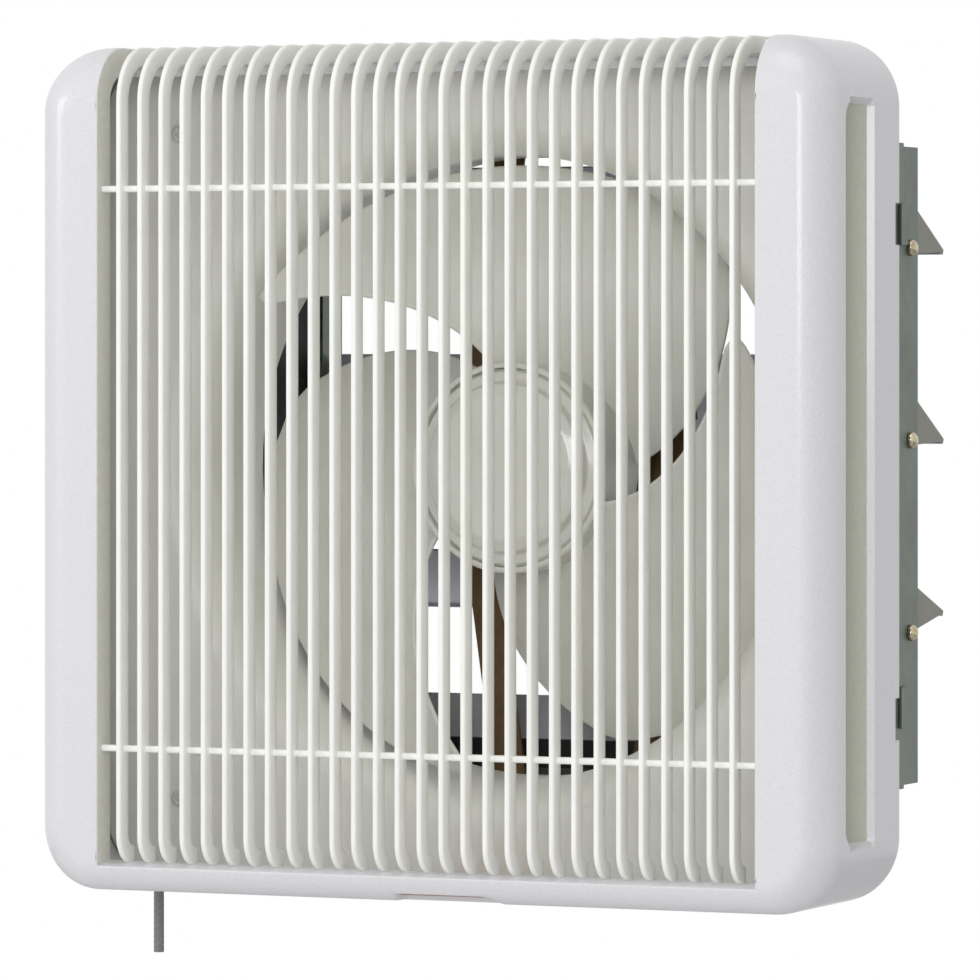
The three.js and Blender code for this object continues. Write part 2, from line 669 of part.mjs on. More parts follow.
// A blade in its own frame: the pin is the origin, Y runs to the outer edge and Z to the sheet.
function shutterBlade(number) {
  const innerEdge = -(number === 0 ? shutterInnerTop : shutterInner);
  const half = shutterHalfWidth;
  const under = shutterOffset - shutterSheet;
  const linkFace = half - cheekThickness - linkGap;
  const sheet = box(-half, half, innerEdge, shutterOuter, under, shutterOffset);
  const lip = box(-linkFace + linkThickness + 2 * linkGap, half, shutterOuter - shutterSheet, shutterOuter,
    shutterOffset - shutterLip, shutterOffset);
  const cheek = new THREE.Shape();
  cheek.moveTo(innerEdge, shutterOffset);
  cheek.lineTo(innerEdge, shutterOffset - cheekInner);
  cheek.lineTo(-earRadius, 0);
  cheek.absarc(0, 0, earRadius, Math.PI, 2 * Math.PI, false);
  cheek.lineTo(shutterOuter, shutterOffset - cheekTip);
  cheek.lineTo(shutterOuter, shutterOffset);
  const cheeks = join(alongX(cheek, -half, -half + cheekThickness), alongX(cheek, half - cheekThickness, half));
  const bore = rod('x', pinRadius + seatGap, -half - 1, half + 1, 0, 0, 16);
  const low = number === 2;
  const angle = radians((low ? crankAngleLow : crankAngle) + restAngles[number]);
  const reach = low ? crankRadiusLow : crankRadius;
  const studEnd = -linkFace + linkThickness + 1.2;
  const stud = rod('x', studRadius, -half + cheekThickness / 2, studEnd, reach * Math.cos(angle),
    reach * Math.sin(angle), 16);
  const lug = rod('x', crankLug, -half, -half + cheekThickness, reach * Math.cos(angle),
    reach * Math.sin(angle), 16);
  const notch = box(-half + cheekThickness, -linkFace + linkThickness + 2.4, innerEdge - 1,
    reach * Math.cos(angle) + linkWidth, under - 1, shutterOffset + 1);
  return join(cut(join(sheet, lip), notch), cut(join(cheeks, lug), bore), stud);
}

function crankPlace(number) {
  const low = number === 2;
  const angle = radians(low ? crankAngleLow : crankAngle);
  const reach = low ? crankRadiusLow : crankRadius;
  return [pinY + reach * Math.cos(angle), pinHeights[number] + reach * Math.sin(angle)];
}

function linkBar() {
  const x0 = -(shutterHalfWidth - cheekThickness - linkGap);
  const x1 = x0 + linkThickness;
  const places = shutterNumbers.map(crankPlace);
  const shape = new THREE.Shape();
  const r = linkWidth / 2;
  const [topY, topZ] = places[0];
  const [lowY, lowZ] = places[2];
  shape.absarc(lowY, lowZ, r, Math.PI, 2 * Math.PI, false);
  shape.lineTo(topY + r, topZ);
  shape.absarc(topY, topZ, r, 0, Math.PI, false);
  const holes = places.map(([y, z], i) => rod('x', studRadius + (i === 0 ? seatGap : linkPlay),
    x0 - 1, x1 + 1, y, z, 16));
  return cut(alongX(shape, x0, x1), ...holes);
}

function shutterPin(side, z) {
  const face = frameHalfWidth + seatGap;
  const shank = rod('x', pinRadius, shutterHalfWidth - cheekThickness - seatGap, face + 0.5, pinY, z, 10);
  const head = new THREE.LatheGeometry([[0, 0], [1, 0], [0.9, 0.6], [0.5, 0.93], [0, 1]]
    .map(([r, h]) => new THREE.Vector2(r * pinHeadRadius, h * pinHeadHeight)), smallCircle);
  head.rotateZ(-Math.PI / 2).translate(face, pinY, z);
  const pin = join(shank, solidOf(head));
  return side > 0 ? pin : pin.mirror([1, 0, 0]);
}

// ---------- pull switch and cord ----------
const switchFront = -panelFront + panelWall + seatGap;
const switchTop = switchBottom + switchHeight;
const sliderHalf = switchWidth / 2 - switchWall - seatGap;

function pullSwitchBody() {
  const x0 = cordX - switchWidth / 2;
  const x1 = cordX + switchWidth / 2;
  const y1 = switchFront + switchDepth;
  const block = box(x0, x1, switchFront, y1, switchBottom, switchTop);
  const hollow = box(x0 + switchWall, x1 - switchWall, switchFront + switchWall, y1 + 1,
    switchBottom + switchWall, switchTop - switchWall);
  const cordHole = rod('z', guideBore, switchBottom - 1, switchBottom + switchWall + 1, cordX, cordY);
  return cut(block, hollow, cordHole);
}

function pullSwitchLid() {
  const y0 = switchFront + switchDepth + seatGap;
  return box(cordX - switchWidth / 2, cordX + switchWidth / 2, y0, y0 + 1, switchBottom, switchTop);
}

function pullSlider() {
  const y0 = switchFront + switchWall + seatGap;
  const y1 = switchFront + switchDepth - seatGap;
  const z0 = cordTop + seatGap;
  const z1 = z0 + sliderStem;
  return join(box(cordX - sliderHalf, cordX + sliderHalf, y0, y1, z1, z1 + sliderHeight),
    rod('z', cordRadius + 1, z0, z1 + 1, cordX, cordY));
}

function cordGuide() {
  const top = -halfHeight + coverWall + seatGap + guidePad + seatGap;
  const low = top - guidePad + 2;
  const flange = rod('z', guideFlange, top, top + 1.5, cordX, cordY);
  const sleeve = rod('z', guideRadius, low, top + 0.5, cordX, cordY);
  const bore = rod('z', guideBore, low - 5, top + 5, cordX, cordY);
  return cut(join(flange, sleeve), bore);
}

function pullCord() {
  const section = new THREE.Shape();
  section.absarc(0, 0, cordRadius, 0, 2 * Math.PI, false);
  const path = new THREE.LineCurve3(new THREE.Vector3(cordX, cordY, cordTop),
    new THREE.Vector3(cordX, cordY, cordEnd));
  return solidOf(new THREE.ExtrudeGeometry(section,
    { extrudePath: path, steps: 5, curveSegments: 4, bevelEnabled: false }));
}

function terminalBlock() {
  const half = switchWidth / 2;
  const z0 = switchTop + terminalGap;
  const base = box(cordX - half, cordX + half, switchFront, switchFront + switchDepth - 1,
    z0, z0 + 3 * terminalPitch);
  const wells = [0, 1, 2].map((i) => box(cordX - half + switchWall, cordX + half - switchWall,
    switchFront + switchDepth / 2, switchFront + switchDepth, z0 + i * terminalPitch + switchWall,
    z0 + (i + 1) * terminalPitch - switchWall));
  return cut(base, ...wells);
}

// ---------- the assembly ----------
const fan = new THREE.Group();
const finish = (color, roughness, metalness = 0) => () =>
  new THREE.MeshStandardMaterial({ color, roughness, metalness });
const coverPlastic = finish(0xe4e4e2, 0.55);
const ivoryPlastic = finish(0xf1f0e6, 0.45);
const bladePlastic = finish(0xdcdcd0, 0.4);
const clearPlastic = finish(0xe2e4da, 0.25);
const galvanised = finish(0x6d746d, 0.45, 0.8);
const shutterPaint = finish(0x9c9ca0, 0.5, 0.3);
const darkSteel = finish(0x4a3a2c, 0.6, 0.4);
const steel = finish(0x9a9a9a, 0.3, 1);
const goldPin = finish(0x9c8858, 0.35, 0.9);
const copper = finish(0xa5562f, 0.5, 0.6);
const greyCord = finish(0x808080, 0.85);

function add(name, solid, material, place) {
  const mesh = new THREE.Mesh(geometryOf(solid), material());
  mesh.name = name;
  if (place) place(mesh);
  fan.add(mesh);
}

add('cover_shell', coverShell(), coverPlastic);
add('grille_slats', grilleSlats(), ivoryPlastic);
add('orifice_panel', orificePanel(), ivoryPlastic);
add('oil_tray', oilTray(), darkSteel);
add('body_casing', bodyCasing(), galvanised);
panelScrewPlaces().forEach(([x, z], i) => add(`panel_screw_${i + 1}`, screw(x, z, -panelFront, 0), steel));

add('impeller', impeller(), bladePlastic);
add('spinner', spinner(), clearPlastic);
add('motor_shaft', rod('y', shaftRadius, shaftFront, motorRear - 1, 0, 0), steel);
add('motor_rotor', ring(statorInner - airGap, shaftRadius + seatGap, statorFront, statorFront + statorLength, 48),
  steel);
add('motor_stator', motorStator(), steel);
add('stator_coil_front', statorCoil(true), copper);
add('stator_coil_rear', statorCoil(false), copper);
add('motor_shell_front', motorShell(true), darkSteel);
add('motor_shell_rear', motorShell(false), darkSteel);
for (const [name, y] of [['bearing_front', bearingFrontY], ['bearing_rear', bearingRearY]]) {
  add(name, ring(bearingRadius, shaftRadius + seatGap, y + seatGap, y + bearingWidth - seatGap, motorCircle),
    steel);
}
add('motor_bracket', motorBracket(), darkSteel);
motorScrewPlaces().forEach(([x, z], i) => add(`motor_screw_${i + 1}`,
  screw(x, z, bracketY - bracketThickness - seatGap, bracketY + bracketThickness + 1), steel));

add('shutter_frame', shutterFrame(), galvanised);
for (const i of shutterNumbers) {
  add(`shutter_blade_${i + 1}`, shutterBlade(i), shutterPaint, (mesh) => {
    mesh.position.set(0, pinY, pinHeights[i]);
    mesh.rotation.x = -radians(restAngles[i]);
  });
  add(`shutter_pin_${i + 1}_left`, shutterPin(-1, pinHeights[i]), goldPin);
  add(`shutter_pin_${i + 1}_right`, shutterPin(1, pinHeights[i]), goldPin);
}
add('link_bar', linkBar(), galvanised);

add('pull_switch_body', pullSwitchBody(), ivoryPlastic);
add('pull_switch_lid', pullSwitchLid(), ivoryPlastic);
add('pull_slider', pullSlider(), ivoryPlastic);
add('cord_guide', cordGuide(), ivoryPlastic);
add('pull_cord', pullCord(), greyCord);
add('terminal_block', terminalBlock(), ivoryPlastic);

export default fan;
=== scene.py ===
import json
import math

import bmesh
import bpy
import numpy as np
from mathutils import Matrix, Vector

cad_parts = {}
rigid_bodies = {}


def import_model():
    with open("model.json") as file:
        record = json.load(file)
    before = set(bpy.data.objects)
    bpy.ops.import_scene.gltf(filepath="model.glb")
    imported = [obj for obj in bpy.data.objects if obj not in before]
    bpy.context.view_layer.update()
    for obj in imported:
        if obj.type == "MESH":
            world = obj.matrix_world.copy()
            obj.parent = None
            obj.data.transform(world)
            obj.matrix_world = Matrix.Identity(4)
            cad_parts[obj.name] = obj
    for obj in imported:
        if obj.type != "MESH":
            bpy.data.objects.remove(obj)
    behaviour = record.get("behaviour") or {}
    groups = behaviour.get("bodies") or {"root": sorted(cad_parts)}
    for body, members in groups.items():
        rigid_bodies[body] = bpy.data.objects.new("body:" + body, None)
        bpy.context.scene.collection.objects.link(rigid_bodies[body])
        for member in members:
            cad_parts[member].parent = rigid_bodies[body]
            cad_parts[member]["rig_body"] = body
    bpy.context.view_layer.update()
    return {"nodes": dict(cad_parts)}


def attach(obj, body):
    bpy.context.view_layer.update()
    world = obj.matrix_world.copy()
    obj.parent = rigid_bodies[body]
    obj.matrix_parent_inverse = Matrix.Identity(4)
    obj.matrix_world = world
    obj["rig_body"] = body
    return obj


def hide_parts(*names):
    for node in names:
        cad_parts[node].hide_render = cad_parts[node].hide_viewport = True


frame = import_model()
scene = bpy.context.scene
MM = 0.001

# Everything below is in millimetres until a mesh is made. X right, Y into the wall, Z up.
COVER_HALF_WIDTH, COVER_HALF_HEIGHT, COVER_DEPTH, COVER_WALL = 183.0, 180.0, 81.0, 2.5
COVER_CORNER = 28.0
SIDE_ROUND = (15.0, 19.0, math.radians(76.6))  # inset, depth and last angle of the round at the sides
TOP_ROUND = (24.0, 24.0, math.pi / 2)
BOTTOM_ROUND = (13.0, 13.0, math.pi / 2)
OPENING_HALF = 150.45
RAIL = 11.0
OPENING_REAR = 44.0  # the opening's end on top of the cover, from the wall
LIP_DEPTH, LIP_EASE = 12.0, 0.7
GRIP_FRONT, GRIP_REAR, GRIP_HALF = -62.0, -29.0, 152.5
GRIP_DEPTHS, GRIP_CORNERS = (7.0, 3.0), (9.0, 1.2)  # at the front, at the rear
NOTCH = (-14.5, 30.5, -64.0, -176.5)  # left, right, rear, top
PRESS_EASE = 0.8  # over which the grips' and the notch's walls fall
RIM_NOTCH = (4.5, 94.25, 111.75)  # depth, and lower and upper end
SLAT_PITCH, SLAT_COUNT, SLAT_THICK, SLAT_DEPTH = 10.03, 29, 2.4, 8.0
CROSSBARS_AT, GAP = 119.0, 0.3  # the gap is between the cover and what it holds
PANEL_FRONT, PANEL_WALL, PANEL_EASE, PANEL_RIM = -16.0, 1.2, 2.4, -1.8
THROAT, THROAT_REAR, MOUTH_REACH, MOUTH_DEPTH = 134.0, 46.0, 18.0, 34.0
HUB, HUB_FRONT, HUB_REAR = 45.5, 10.0, 48.0
BLADE_TIP, TIP_CORNER = 130.0, 11.0
BLADE_START, BLADE_SWEEP, BLADE_SPAN = 100.6, 0.57, 100  # degrees, degrees per mm of radius, degrees
BLADE_LEAD, BLADE_TRAIL, BLADE_CAMBER = (14, -19), (46, 53), 0.82  # y at root and tip
LEAD_ROUND, TRAIL_ROUND = 0.06, 0.155  # share of the tip that each rounded corner takes
BLADE_HALF_THICK = 1.1
HEAD_RADIUS, HEAD_HEIGHT, SHANK_RADIUS = 3.6, 1.9, 2.0
CROSS_DEPTH, CROSS_HALF, CROSS_REACH = 0.9, 0.55, 2.3
PANEL_SEAT, PANEL_SCREW_END, PANEL_SCREWS_AT = -16.4, -0.1, 144
MOTOR_SEAT, MOTOR_SCREW_END, MOTOR_SCREWS_AT = 83.4, 89, 43
RIVET_Y, RIVET_FACE, RIVET_END, RIVET_DOME, RIVET_FLAT = 128.0, 140.3, 133.9, 3.0, 0.4
PIVOTS_Z = (95.0, 11.0, -73.0)
CORD_X, CORD_Y, CORD_TOP, CORD_END, CORD_RADIUS = -158.0, -8.0, -150.0, -212.0, 2.25


# ---------- camera ----------
YAW = math.radians(24)
DISTANCE, EYE = 2.831, 0.0541  # metres from the fan's middle, and above it
SENSOR = 36  # mm
PICTURE, FOCAL, SHIFT_X, SHIFT_Y = 980, 6624.5, -7.5, -148.5  # pixels
camera_data = bpy.data.cameras.new("camera")
camera_data.sensor_width = SENSOR
camera_data.lens = SENSOR * FOCAL / PICTURE
camera_data.shift_x = SHIFT_X / PICTURE
camera_data.shift_y = SHIFT_Y / PICTURE
camera = bpy.data.objects.new("camera", camera_data)
camera.location = (DISTANCE * math.sin(YAW), -DISTANCE * math.cos(YAW), EYE)
camera.rotation_euler = (math.pi / 2, 0, YAW)
scene.collection.objects.link(camera)
scene.camera = camera


# ---------- meshes from numpy surfaces ----------
WELD = 0.002  # points closer than this, in mm, become one
EDGE_SHARP, EDGE_EASED = 30, 40  # a CAD edge past these degrees is shaded sharp, and eased


def grid(points, wrap_rows=False, wrap_columns=False):
    """A (rows, columns, 3) array as a shell of quads, joined round on itself where asked."""
    rows, columns, _ = points.shape
    index = np.arange(rows * columns).reshape(rows, columns)
    if wrap_rows:
        index = np.vstack([index, index[:1]])
    if wrap_columns:
        index = np.hstack([index, index[:, :1]])
    quads = np.stack([index[:-1, :-1], index[1:, :-1], index[1:, 1:], index[:-1, 1:]], -1)
    return points.reshape(-1, 3), quads.reshape(-1, 4)


def cap(ring):
    """A closed ring of points filled by a fan of triangles about its middle."""
    n = len(ring)
    i = np.arange(n)
    return np.vstack([ring, ring.mean(0)]), np.stack([i, (i + 1) % n, np.full(n, n)], -1)


def piece(name, shells, material, body="fan_body", stands_for=(), sharp=32):
    """Shells of (points in mm, faces) as one object: doubles merged, faces turned outwards, smooth
    but for edges sharper than `sharp` degrees. It rides on `body`."""
    points, faces, base = [], [], 0
    for shell_points, shell_faces in shells:
        points.append(shell_points)
        faces += (shell_faces + base).tolist()
        base += len(shell_points)
    mesh = bpy.data.meshes.new(name)
    mesh.from_pydata((np.concatenate(points) * MM).tolist(), [], faces)
    work = bmesh.new()
    work.from_mesh(mesh)
    bmesh.ops.remove_doubles(work, verts=work.verts, dist=WELD * MM)
    bmesh.ops.recalc_face_normals(work, faces=work.faces)
    work.to_mesh(mesh)
    work.free()
    return placed(name, mesh, material, body, stands_for, sharp)


def placed(name, mesh, material, body, stands_for, sharp):
    """Links the mesh as an object, with its material, smooth faces, body, slot and replaced nodes."""
    mesh.polygons.foreach_set("use_smooth", [True] * len(mesh.polygons))
    mesh.set_sharp_from_angle(angle=math.radians(sharp))
    mesh.materials.append(material)
    made = bpy.data.objects.new(name, mesh)
    scene.collection.objects.link(made)
    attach(made, body)
    if stands_for:
        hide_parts(*stands_for)
    return made


def eased(node, width, material):
    """A copy of a CAD node, merged and with its flat faces joined, whose edges a Bevel rounds."""
    source = frame["nodes"][node]
    mesh = bpy.data.meshes.new(node + "_eased")
    work = bmesh.new()
    work.from_mesh(source.data)
    bmesh.ops.remove_doubles(work, verts=work.verts, dist=WELD * MM)
    bmesh.ops.dissolve_limit(work, angle_limit=math.radians(0.8), verts=work.verts, edges=work.edges)
    work.to_mesh(mesh)
    work.free()
    made = placed(node + "_eased", mesh, material, source["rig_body"], (node,),
                  EDGE_SHARP)
    bevel = made.modifiers.new("edges", "BEVEL")
    bevel.width = width * MM
    bevel.segments = 2
    bevel.limit_method = "ANGLE"
    bevel.angle_limit = math.radians(EDGE_EASED)
    bevel.use_clamp_overlap = True
    return made


def second_finish(made, material, picked):
    """Gives a second material to the faces for which picked(centres in mm, normals) is true."""
    mesh = made.data
    count = len(mesh.polygons)
    centres, normals, index = np.empty(3 * count), np.empty(3 * count), np.empty(count, np.int32)
    mesh.polygons.foreach_get("center", centres)
    mesh.polygons.foreach_get("normal", normals)
    mesh.polygons.foreach_get("material_index", index)
    index[picked(centres.reshape(-1, 3) / MM, normals.reshape(-1, 3))] = len(mesh.materials)
    mesh.materials.append(material)
    mesh.polygons.foreach_set("material_index", index)


def filleted(corners):
    """A 2-D polyline of (a, b, radius): each corner with a radius becomes an arc between its tangents."""
    out = []
    for i, (a, b, radius) in enumerate(corners):
        here = np.array([a, b], float)
        if radius <= 0 or i in (0, len(corners) - 1):
            out.append(here[None])
            continue
        back = np.array(corners[i - 1][:2], float) - here
        on = np.array(corners[i + 1][:2], float) - here
        back, on = back / np.linalg.norm(back), on / np.linalg.norm(on)
        half = math.acos(np.clip(back @ on, -1, 1)) / 2
        reach = radius / math.tan(half)
        middle = here + (back + on) / np.linalg.norm(back + on) * radius / math.sin(half)
        start, end = here + back * reach - middle, here + on * reach - middle
        turn = np.linspace(0, 1, 5)[:, None]
        omega = math.pi - 2 * half
        arc = (np.sin((1 - turn) * omega) * start + np.sin(turn * omega) * end) / math.sin(omega)
        out.append(middle + arc)
    return np.concatenate(out)


def turned(profile, segments=128):
    """A profile of (radius, y) turned about the fan's axis: x = r cos a, z = r sin a."""
    angle = np.linspace(0, 2 * np.pi, segments, endpoint=False)
    r, y = profile[:, 0][:, None], profile[:, 1][:, None]
    points = np.stack([r * np.cos(angle), y + 0 * angle, r * np.sin(angle)], -1)
    return grid(points, wrap_columns=True)


def smooth(x):
    """The smooth step 3x^2 - 2x^3 of x held between 0 and 1."""
    x = np.clip(x, 0, 1)
    return x * x * (3 - 2 * x)


def inside(a, b, low_a, high_a, low_b, high_b, low_radius, high_radius):
    """How far (a, b) lies inside a rectangle whose corners have low_radius at low_a and high_radius
    at high_a."""
    middle_a, middle_b = (low_a + high_a) / 2, (low_b + high_b) / 2
    radius = np.where(a < middle_a, low_radius, high_radius)
    da = np.abs(a - middle_a) - (high_a - low_a) / 2 + radius
    db = np.abs(b - middle_b) - (high_b - low_b) / 2 + radius
    outside = np.hypot(np.maximum(da, 0), np.maximum(db, 0)) + np.minimum(np.maximum(da, db), 0)
    return radius - outside


# ---------- materials ----------
SPANGLE_SCALE, COAT_ROUGHNESS, BUMP_DEPTH = 170, 0.12, 0.4  # crystals a metre, roughness, mm


def linear(*srgb):
    """An sRGB colour of 0-255 as the linear colour that a shader takes."""
    c = np.array(srgb) / 255
    return (*np.where(c <= 0.04045, c / 12.92, ((c + 0.055) / 1.055) ** 2.4), 1.0)


def finish(name, dark, light, scale, rough, grain=0.0, grain_scale=1400, metallic=0.0, coat=0.0,
           stretch=(1, 1, 1), spangle=0.0, shade=None):
    """A surface between two close colours that drift by noise, rough between two values, with a fine
    bump. `spangle` adds the crystals of a zinc coat, and `stretch` draws the noise out into streaks.
    `shade` is (axis, start, end, least) and paints shade: along the axis, in metres, the colour rises from
    least to 1."""
    material = bpy.data.materials.new(name)
    material.use_nodes = True
    nodes, links = material.node_tree.nodes, material.node_tree.links
    shader = nodes["Principled BSDF"]
    shader.inputs["Metallic"].default_value = metallic
    shader.inputs["Coat Weight"].default_value = coat
    shader.inputs["Coat Roughness"].default_value = COAT_ROUGHNESS
    place = nodes.new("ShaderNodeTexCoord")
    mapping = nodes.new("ShaderNodeMapping")
    mapping.inputs["Scale"].default_value = stretch
    links.new(place.outputs["Object"], mapping.inputs["Vector"])

    def noise(size, detail):
        made = nodes.new("ShaderNodeTexNoise")
        made.inputs["Scale"].default_value = size
        made.inputs["Detail"].default_value = detail
        links.new(mapping.outputs["Vector"], made.inputs["Vector"])
        return made.outputs["Fac"]

    drift = noise(scale, 4)
    if spangle:
        crystals = nodes.new("ShaderNodeTexVoronoi")
        crystals.inputs["Scale"].default_value = SPANGLE_SCALE
        links.new(place.outputs["Object"], crystals.inputs["Vector"])
        level = nodes.new("ShaderNodeSeparateColor")
        links.new(crystals.outputs["Color"], level.inputs["Color"])
        both = nodes.new("ShaderNodeMix")
        both.data_type = "FLOAT"
        both.inputs["Factor"].default_value = spangle
        links.new(drift, both.inputs["A"])
        links.new(level.outputs["Red"], both.inputs["B"])
        drift = both.outputs["Result"]
    ramp = nodes.new("ShaderNodeValToRGB")
    ramp.color_ramp.elements[0].position = 0.3
    ramp.color_ramp.elements[1].position = 0.7
    ramp.color_ramp.elements[0].color = linear(*dark)
    ramp.color_ramp.elements[1].color = linear(*light)
    links.new(drift, ramp.inputs["Fac"])
    colour = ramp.outputs["Color"]
    # Painted shade: the colour is scaled down along one axis of the object.
    if shade:
        axis, start, end, least = shade
        spot = nodes.new("ShaderNodeSeparateXYZ")
        links.new(place.outputs["Object"], spot.inputs["Vector"])
        rise = nodes.new("ShaderNodeMapRange")
        rise.inputs["From Min"].default_value = start
        rise.inputs["From Max"].default_value = end
        rise.inputs["To Min"].default_value = least
        links.new(spot.outputs[axis], rise.inputs["Value"])
        shaded = nodes.new("ShaderNodeVectorMath")
        shaded.operation = "SCALE"
        links.new(colour, shaded.inputs["Vector"])
        links.new(rise.outputs["Result"], shaded.inputs["Scale"])
        colour = shaded.outputs["Vector"]
    links.new(colour, shader.inputs["Base Color"])
    swing = nodes.new("ShaderNodeMapRange")
    swing.inputs["To Min"].default_value = rough[0]
    swing.inputs["To Max"].default_value = rough[1]
    links.new(drift, swing.inputs["Value"])
    links.new(swing.outputs["Result"], shader.inputs["Roughness"])
    if grain:
        bump = nodes.new("ShaderNodeBump")
        bump.inputs["Strength"].default_value = grain
        bump.inputs["Distance"].default_value = BUMP_DEPTH * MM
        links.new(noise(grain_scale, 2), bump.inputs["Height"])
        links.new(bump.outputs["Normal"], shader.inputs["Normal"])
    return material


cover_plastic = finish("cover_plastic", (218, 217, 221), (225, 224, 228), 900, (0.36, 0.48), grain=0.4,
                       coat=0.4)
# Painted shade: the grips' floors are darker and greener than the cover, and darker still towards the
# front.
grip_painted_shade = finish("grip_painted_shade", (202, 204, 186), (210, 212, 194), 300, (0.4, 0.5), grain=0.3,
                    shade=("Y", -0.062, -0.030, 0.5))
# Painted shade: the upright walls beside the slats are darker than the cover.
lip_painted_shade = finish("lip_painted_shade", (212, 212, 202), (220, 220, 211), 300, (0.4, 0.5), grain=0.3)
slat_plastic = finish("slat_plastic", (244, 244, 239), (248, 248, 244), 60, (0.36, 0.46), grain=0.15)
panel_plastic = finish("panel_plastic", (239, 239, 231), (244, 244, 237), 40, (0.35, 0.45), grain=0.15)
blade_plastic = finish("blade_plastic", (221, 221, 212), (229, 229, 221), 35, (0.28, 0.38), grain=0.1)
spinner_plastic = finish("spinner_plastic", (222, 222, 213), (230, 230, 222), 30, (0.12, 0.2), coat=0.6)
zinc = finish("zinc", (88, 97, 89), (112, 121, 112), 40, (0.36, 0.5), grain=0.2, grain_scale=500,
              metallic=0.5, spangle=0.16)
# Painted shade: a near-black, non-metallic copy of the zinc for the casing's inside and the frame's inner
# sides.
zinc_painted_shade = finish("zinc_painted_shade", (30, 31, 27), (42, 43, 37), 40, (0.5, 0.65), grain=0.2, grain_scale=500)
# Pale paint on the sill's face, with a painted shadow: a near-black band at its foot, from Z -124.4 mm
# down.
sill_paint_and_painted_shadow = finish("sill_paint_and_painted_shadow", (240, 240, 248), (245, 245, 252), 60, (0.3, 0.42), grain=0.1,
                    shade=("Z", -0.1244, -0.1238, 0.05))
shutter_paint = finish("shutter_paint", (199, 197, 209), (206, 204, 215), 45, (0.36, 0.5), grain=0.2,
                       metallic=0.1)
# Painted shade: a darker olive copy of the shutter paint for the blades' cheeks, which face left and right.
cheek_painted_shade = finish("cheek_painted_shade", (122, 122, 112), (136, 136, 126), 45, (0.4, 0.52), grain=0.2,
                     metallic=0.15)
motor_paint = finish("motor_paint", (118, 94, 62), (142, 116, 80), 60, (0.4, 0.6), grain=0.3,
                     grain_scale=700)
lamination = finish("lamination", (110, 110, 114), (142, 142, 147), 300, (0.35, 0.5), metallic=0.9,
                    grain=0.5, stretch=(1, 6, 1))
copper_winding = finish("copper_winding", (150, 74, 40), (190, 104, 62), 900, (0.3, 0.45), metallic=0.6,
                        grain=0.8, grain_scale=900)
bright_steel = finish("bright_steel", (176, 177, 180), (202, 203, 206), 400, (0.2, 0.34), metallic=1.0,
                      grain=0.1)
screw_paint = finish("screw_paint", (222, 222, 213), (230, 230, 222), 300, (0.3, 0.4), grain=0.1)
pin_gold = finish("pin_gold", (158, 146, 118), (206, 196, 168), 300, (0.14, 0.24), metallic=1.0, grain=0.1)
cord_grey = finish("cord_grey", (120, 120, 120), (136, 136, 136), 1500, (0.75, 0.9), grain=0.5,
                   grain_scale=2500)
tray_plastic = finish("tray_plastic", (150, 112, 92), (176, 140, 118), 200, (0.5, 0.65), grain=0.2)


# ---------- pull cord ----------
def braided_cord():
    """A tube r(a, z) = R - h + h max(cos n(a + kz), cos n(a - kz)): two crossing sets of strands."""
    z = np.linspace(CORD_TOP, CORD_END, 190)[:, None]
    a = np.linspace(0, 2 * np.pi, 48, endpoint=False)[None]
    strands, lay, height = 4, 2 * np.pi / 11, 0.14
    crown = np.maximum(np.cos(strands * (a + lay * z)), np.cos(strands * (a - lay * z)))
    r = CORD_RADIUS - height + height * crown
    points = np.stack([CORD_X + r * np.cos(a), CORD_Y + r * np.sin(a), z + 0 * a], -1)
    return [grid(points, wrap_columns=True), cap(points[0]), cap(points[-1])]


cord = piece("braided_cord", braided_cord(), cord_grey, "pull", ["pull_cord"])


# ---------- cover ----------
def cover_outline():
    """The outline seen from the front, counter-clockwise from the bottom: for each station the corner
    centre, the outward normal, and the inset, depth and last angle of the round there."""
    run_x = COVER_HALF_WIDTH - COVER_CORNER
    run_z = COVER_HALF_HEIGHT - COVER_CORNER
    half = np.concatenate([np.linspace(0, 24, 16), np.linspace(26, 148, 30), [OPENING_HALF, 152.5]])
    across = np.concatenate([-half[:0:-1], half])
    up = np.sort(np.concatenate([np.linspace(0, 138, 36), np.linspace(139, 151.6, 26), RIM_NOTCH[1:]]))
    up = np.concatenate([-up[:0:-1], up])
    arc = np.linspace(0, np.pi / 2, 20)
    zero, one = np.zeros, np.ones

    def station(cx, cz, angle, weight, first, second):
        rounds = np.array(first) * (1 - weight)[:, None] + np.array(second) * weight[:, None]
        return np.column_stack([cx, cz, np.cos(angle), np.sin(angle), rounds])

    def run(along, horizontal, sign, rounds):
        n = len(along)
        if horizontal:
            return station(along, sign * run_z * one(n), sign * np.pi / 2 * one(n), zero(n), rounds, rounds)
        angle = (0 if sign > 0 else np.pi) * one(n)
        return station(sign * run_x * one(n), along, angle, zero(n), rounds, rounds)

    def corner(sx, sz, start, first, second):
        n = len(arc)
        weight = smooth(arc / (np.pi / 2))
        return station(sx * run_x * one(n), sz * run_z * one(n), start + arc, weight, first, second)

    return np.vstack([
        run(across, True, -1, BOTTOM_ROUND), corner(1, -1, -np.pi / 2, BOTTOM_ROUND, SIDE_ROUND),
        run(up, False, 1, SIDE_ROUND), corner(1, 1, 0, SIDE_ROUND, TOP_ROUND),
        run(-across, True, 1, TOP_ROUND), corner(-1, 1, np.pi / 2, TOP_ROUND, SIDE_ROUND),
        run(-up, False, -1, SIDE_ROUND), corner(-1, -1, np.pi, SIDE_ROUND, BOTTOM_ROUND),
    ]), len(across), len(up), len(arc)


def grip_depth(y):
    """The grip's floor, from deepest at the front edge to shallow at the rear."""
    share = np.clip((y - GRIP_FRONT) / (GRIP_REAR - GRIP_FRONT), 0, 1)
    return GRIP_DEPTHS[0] + (GRIP_DEPTHS[1] - GRIP_DEPTHS[0]) * share


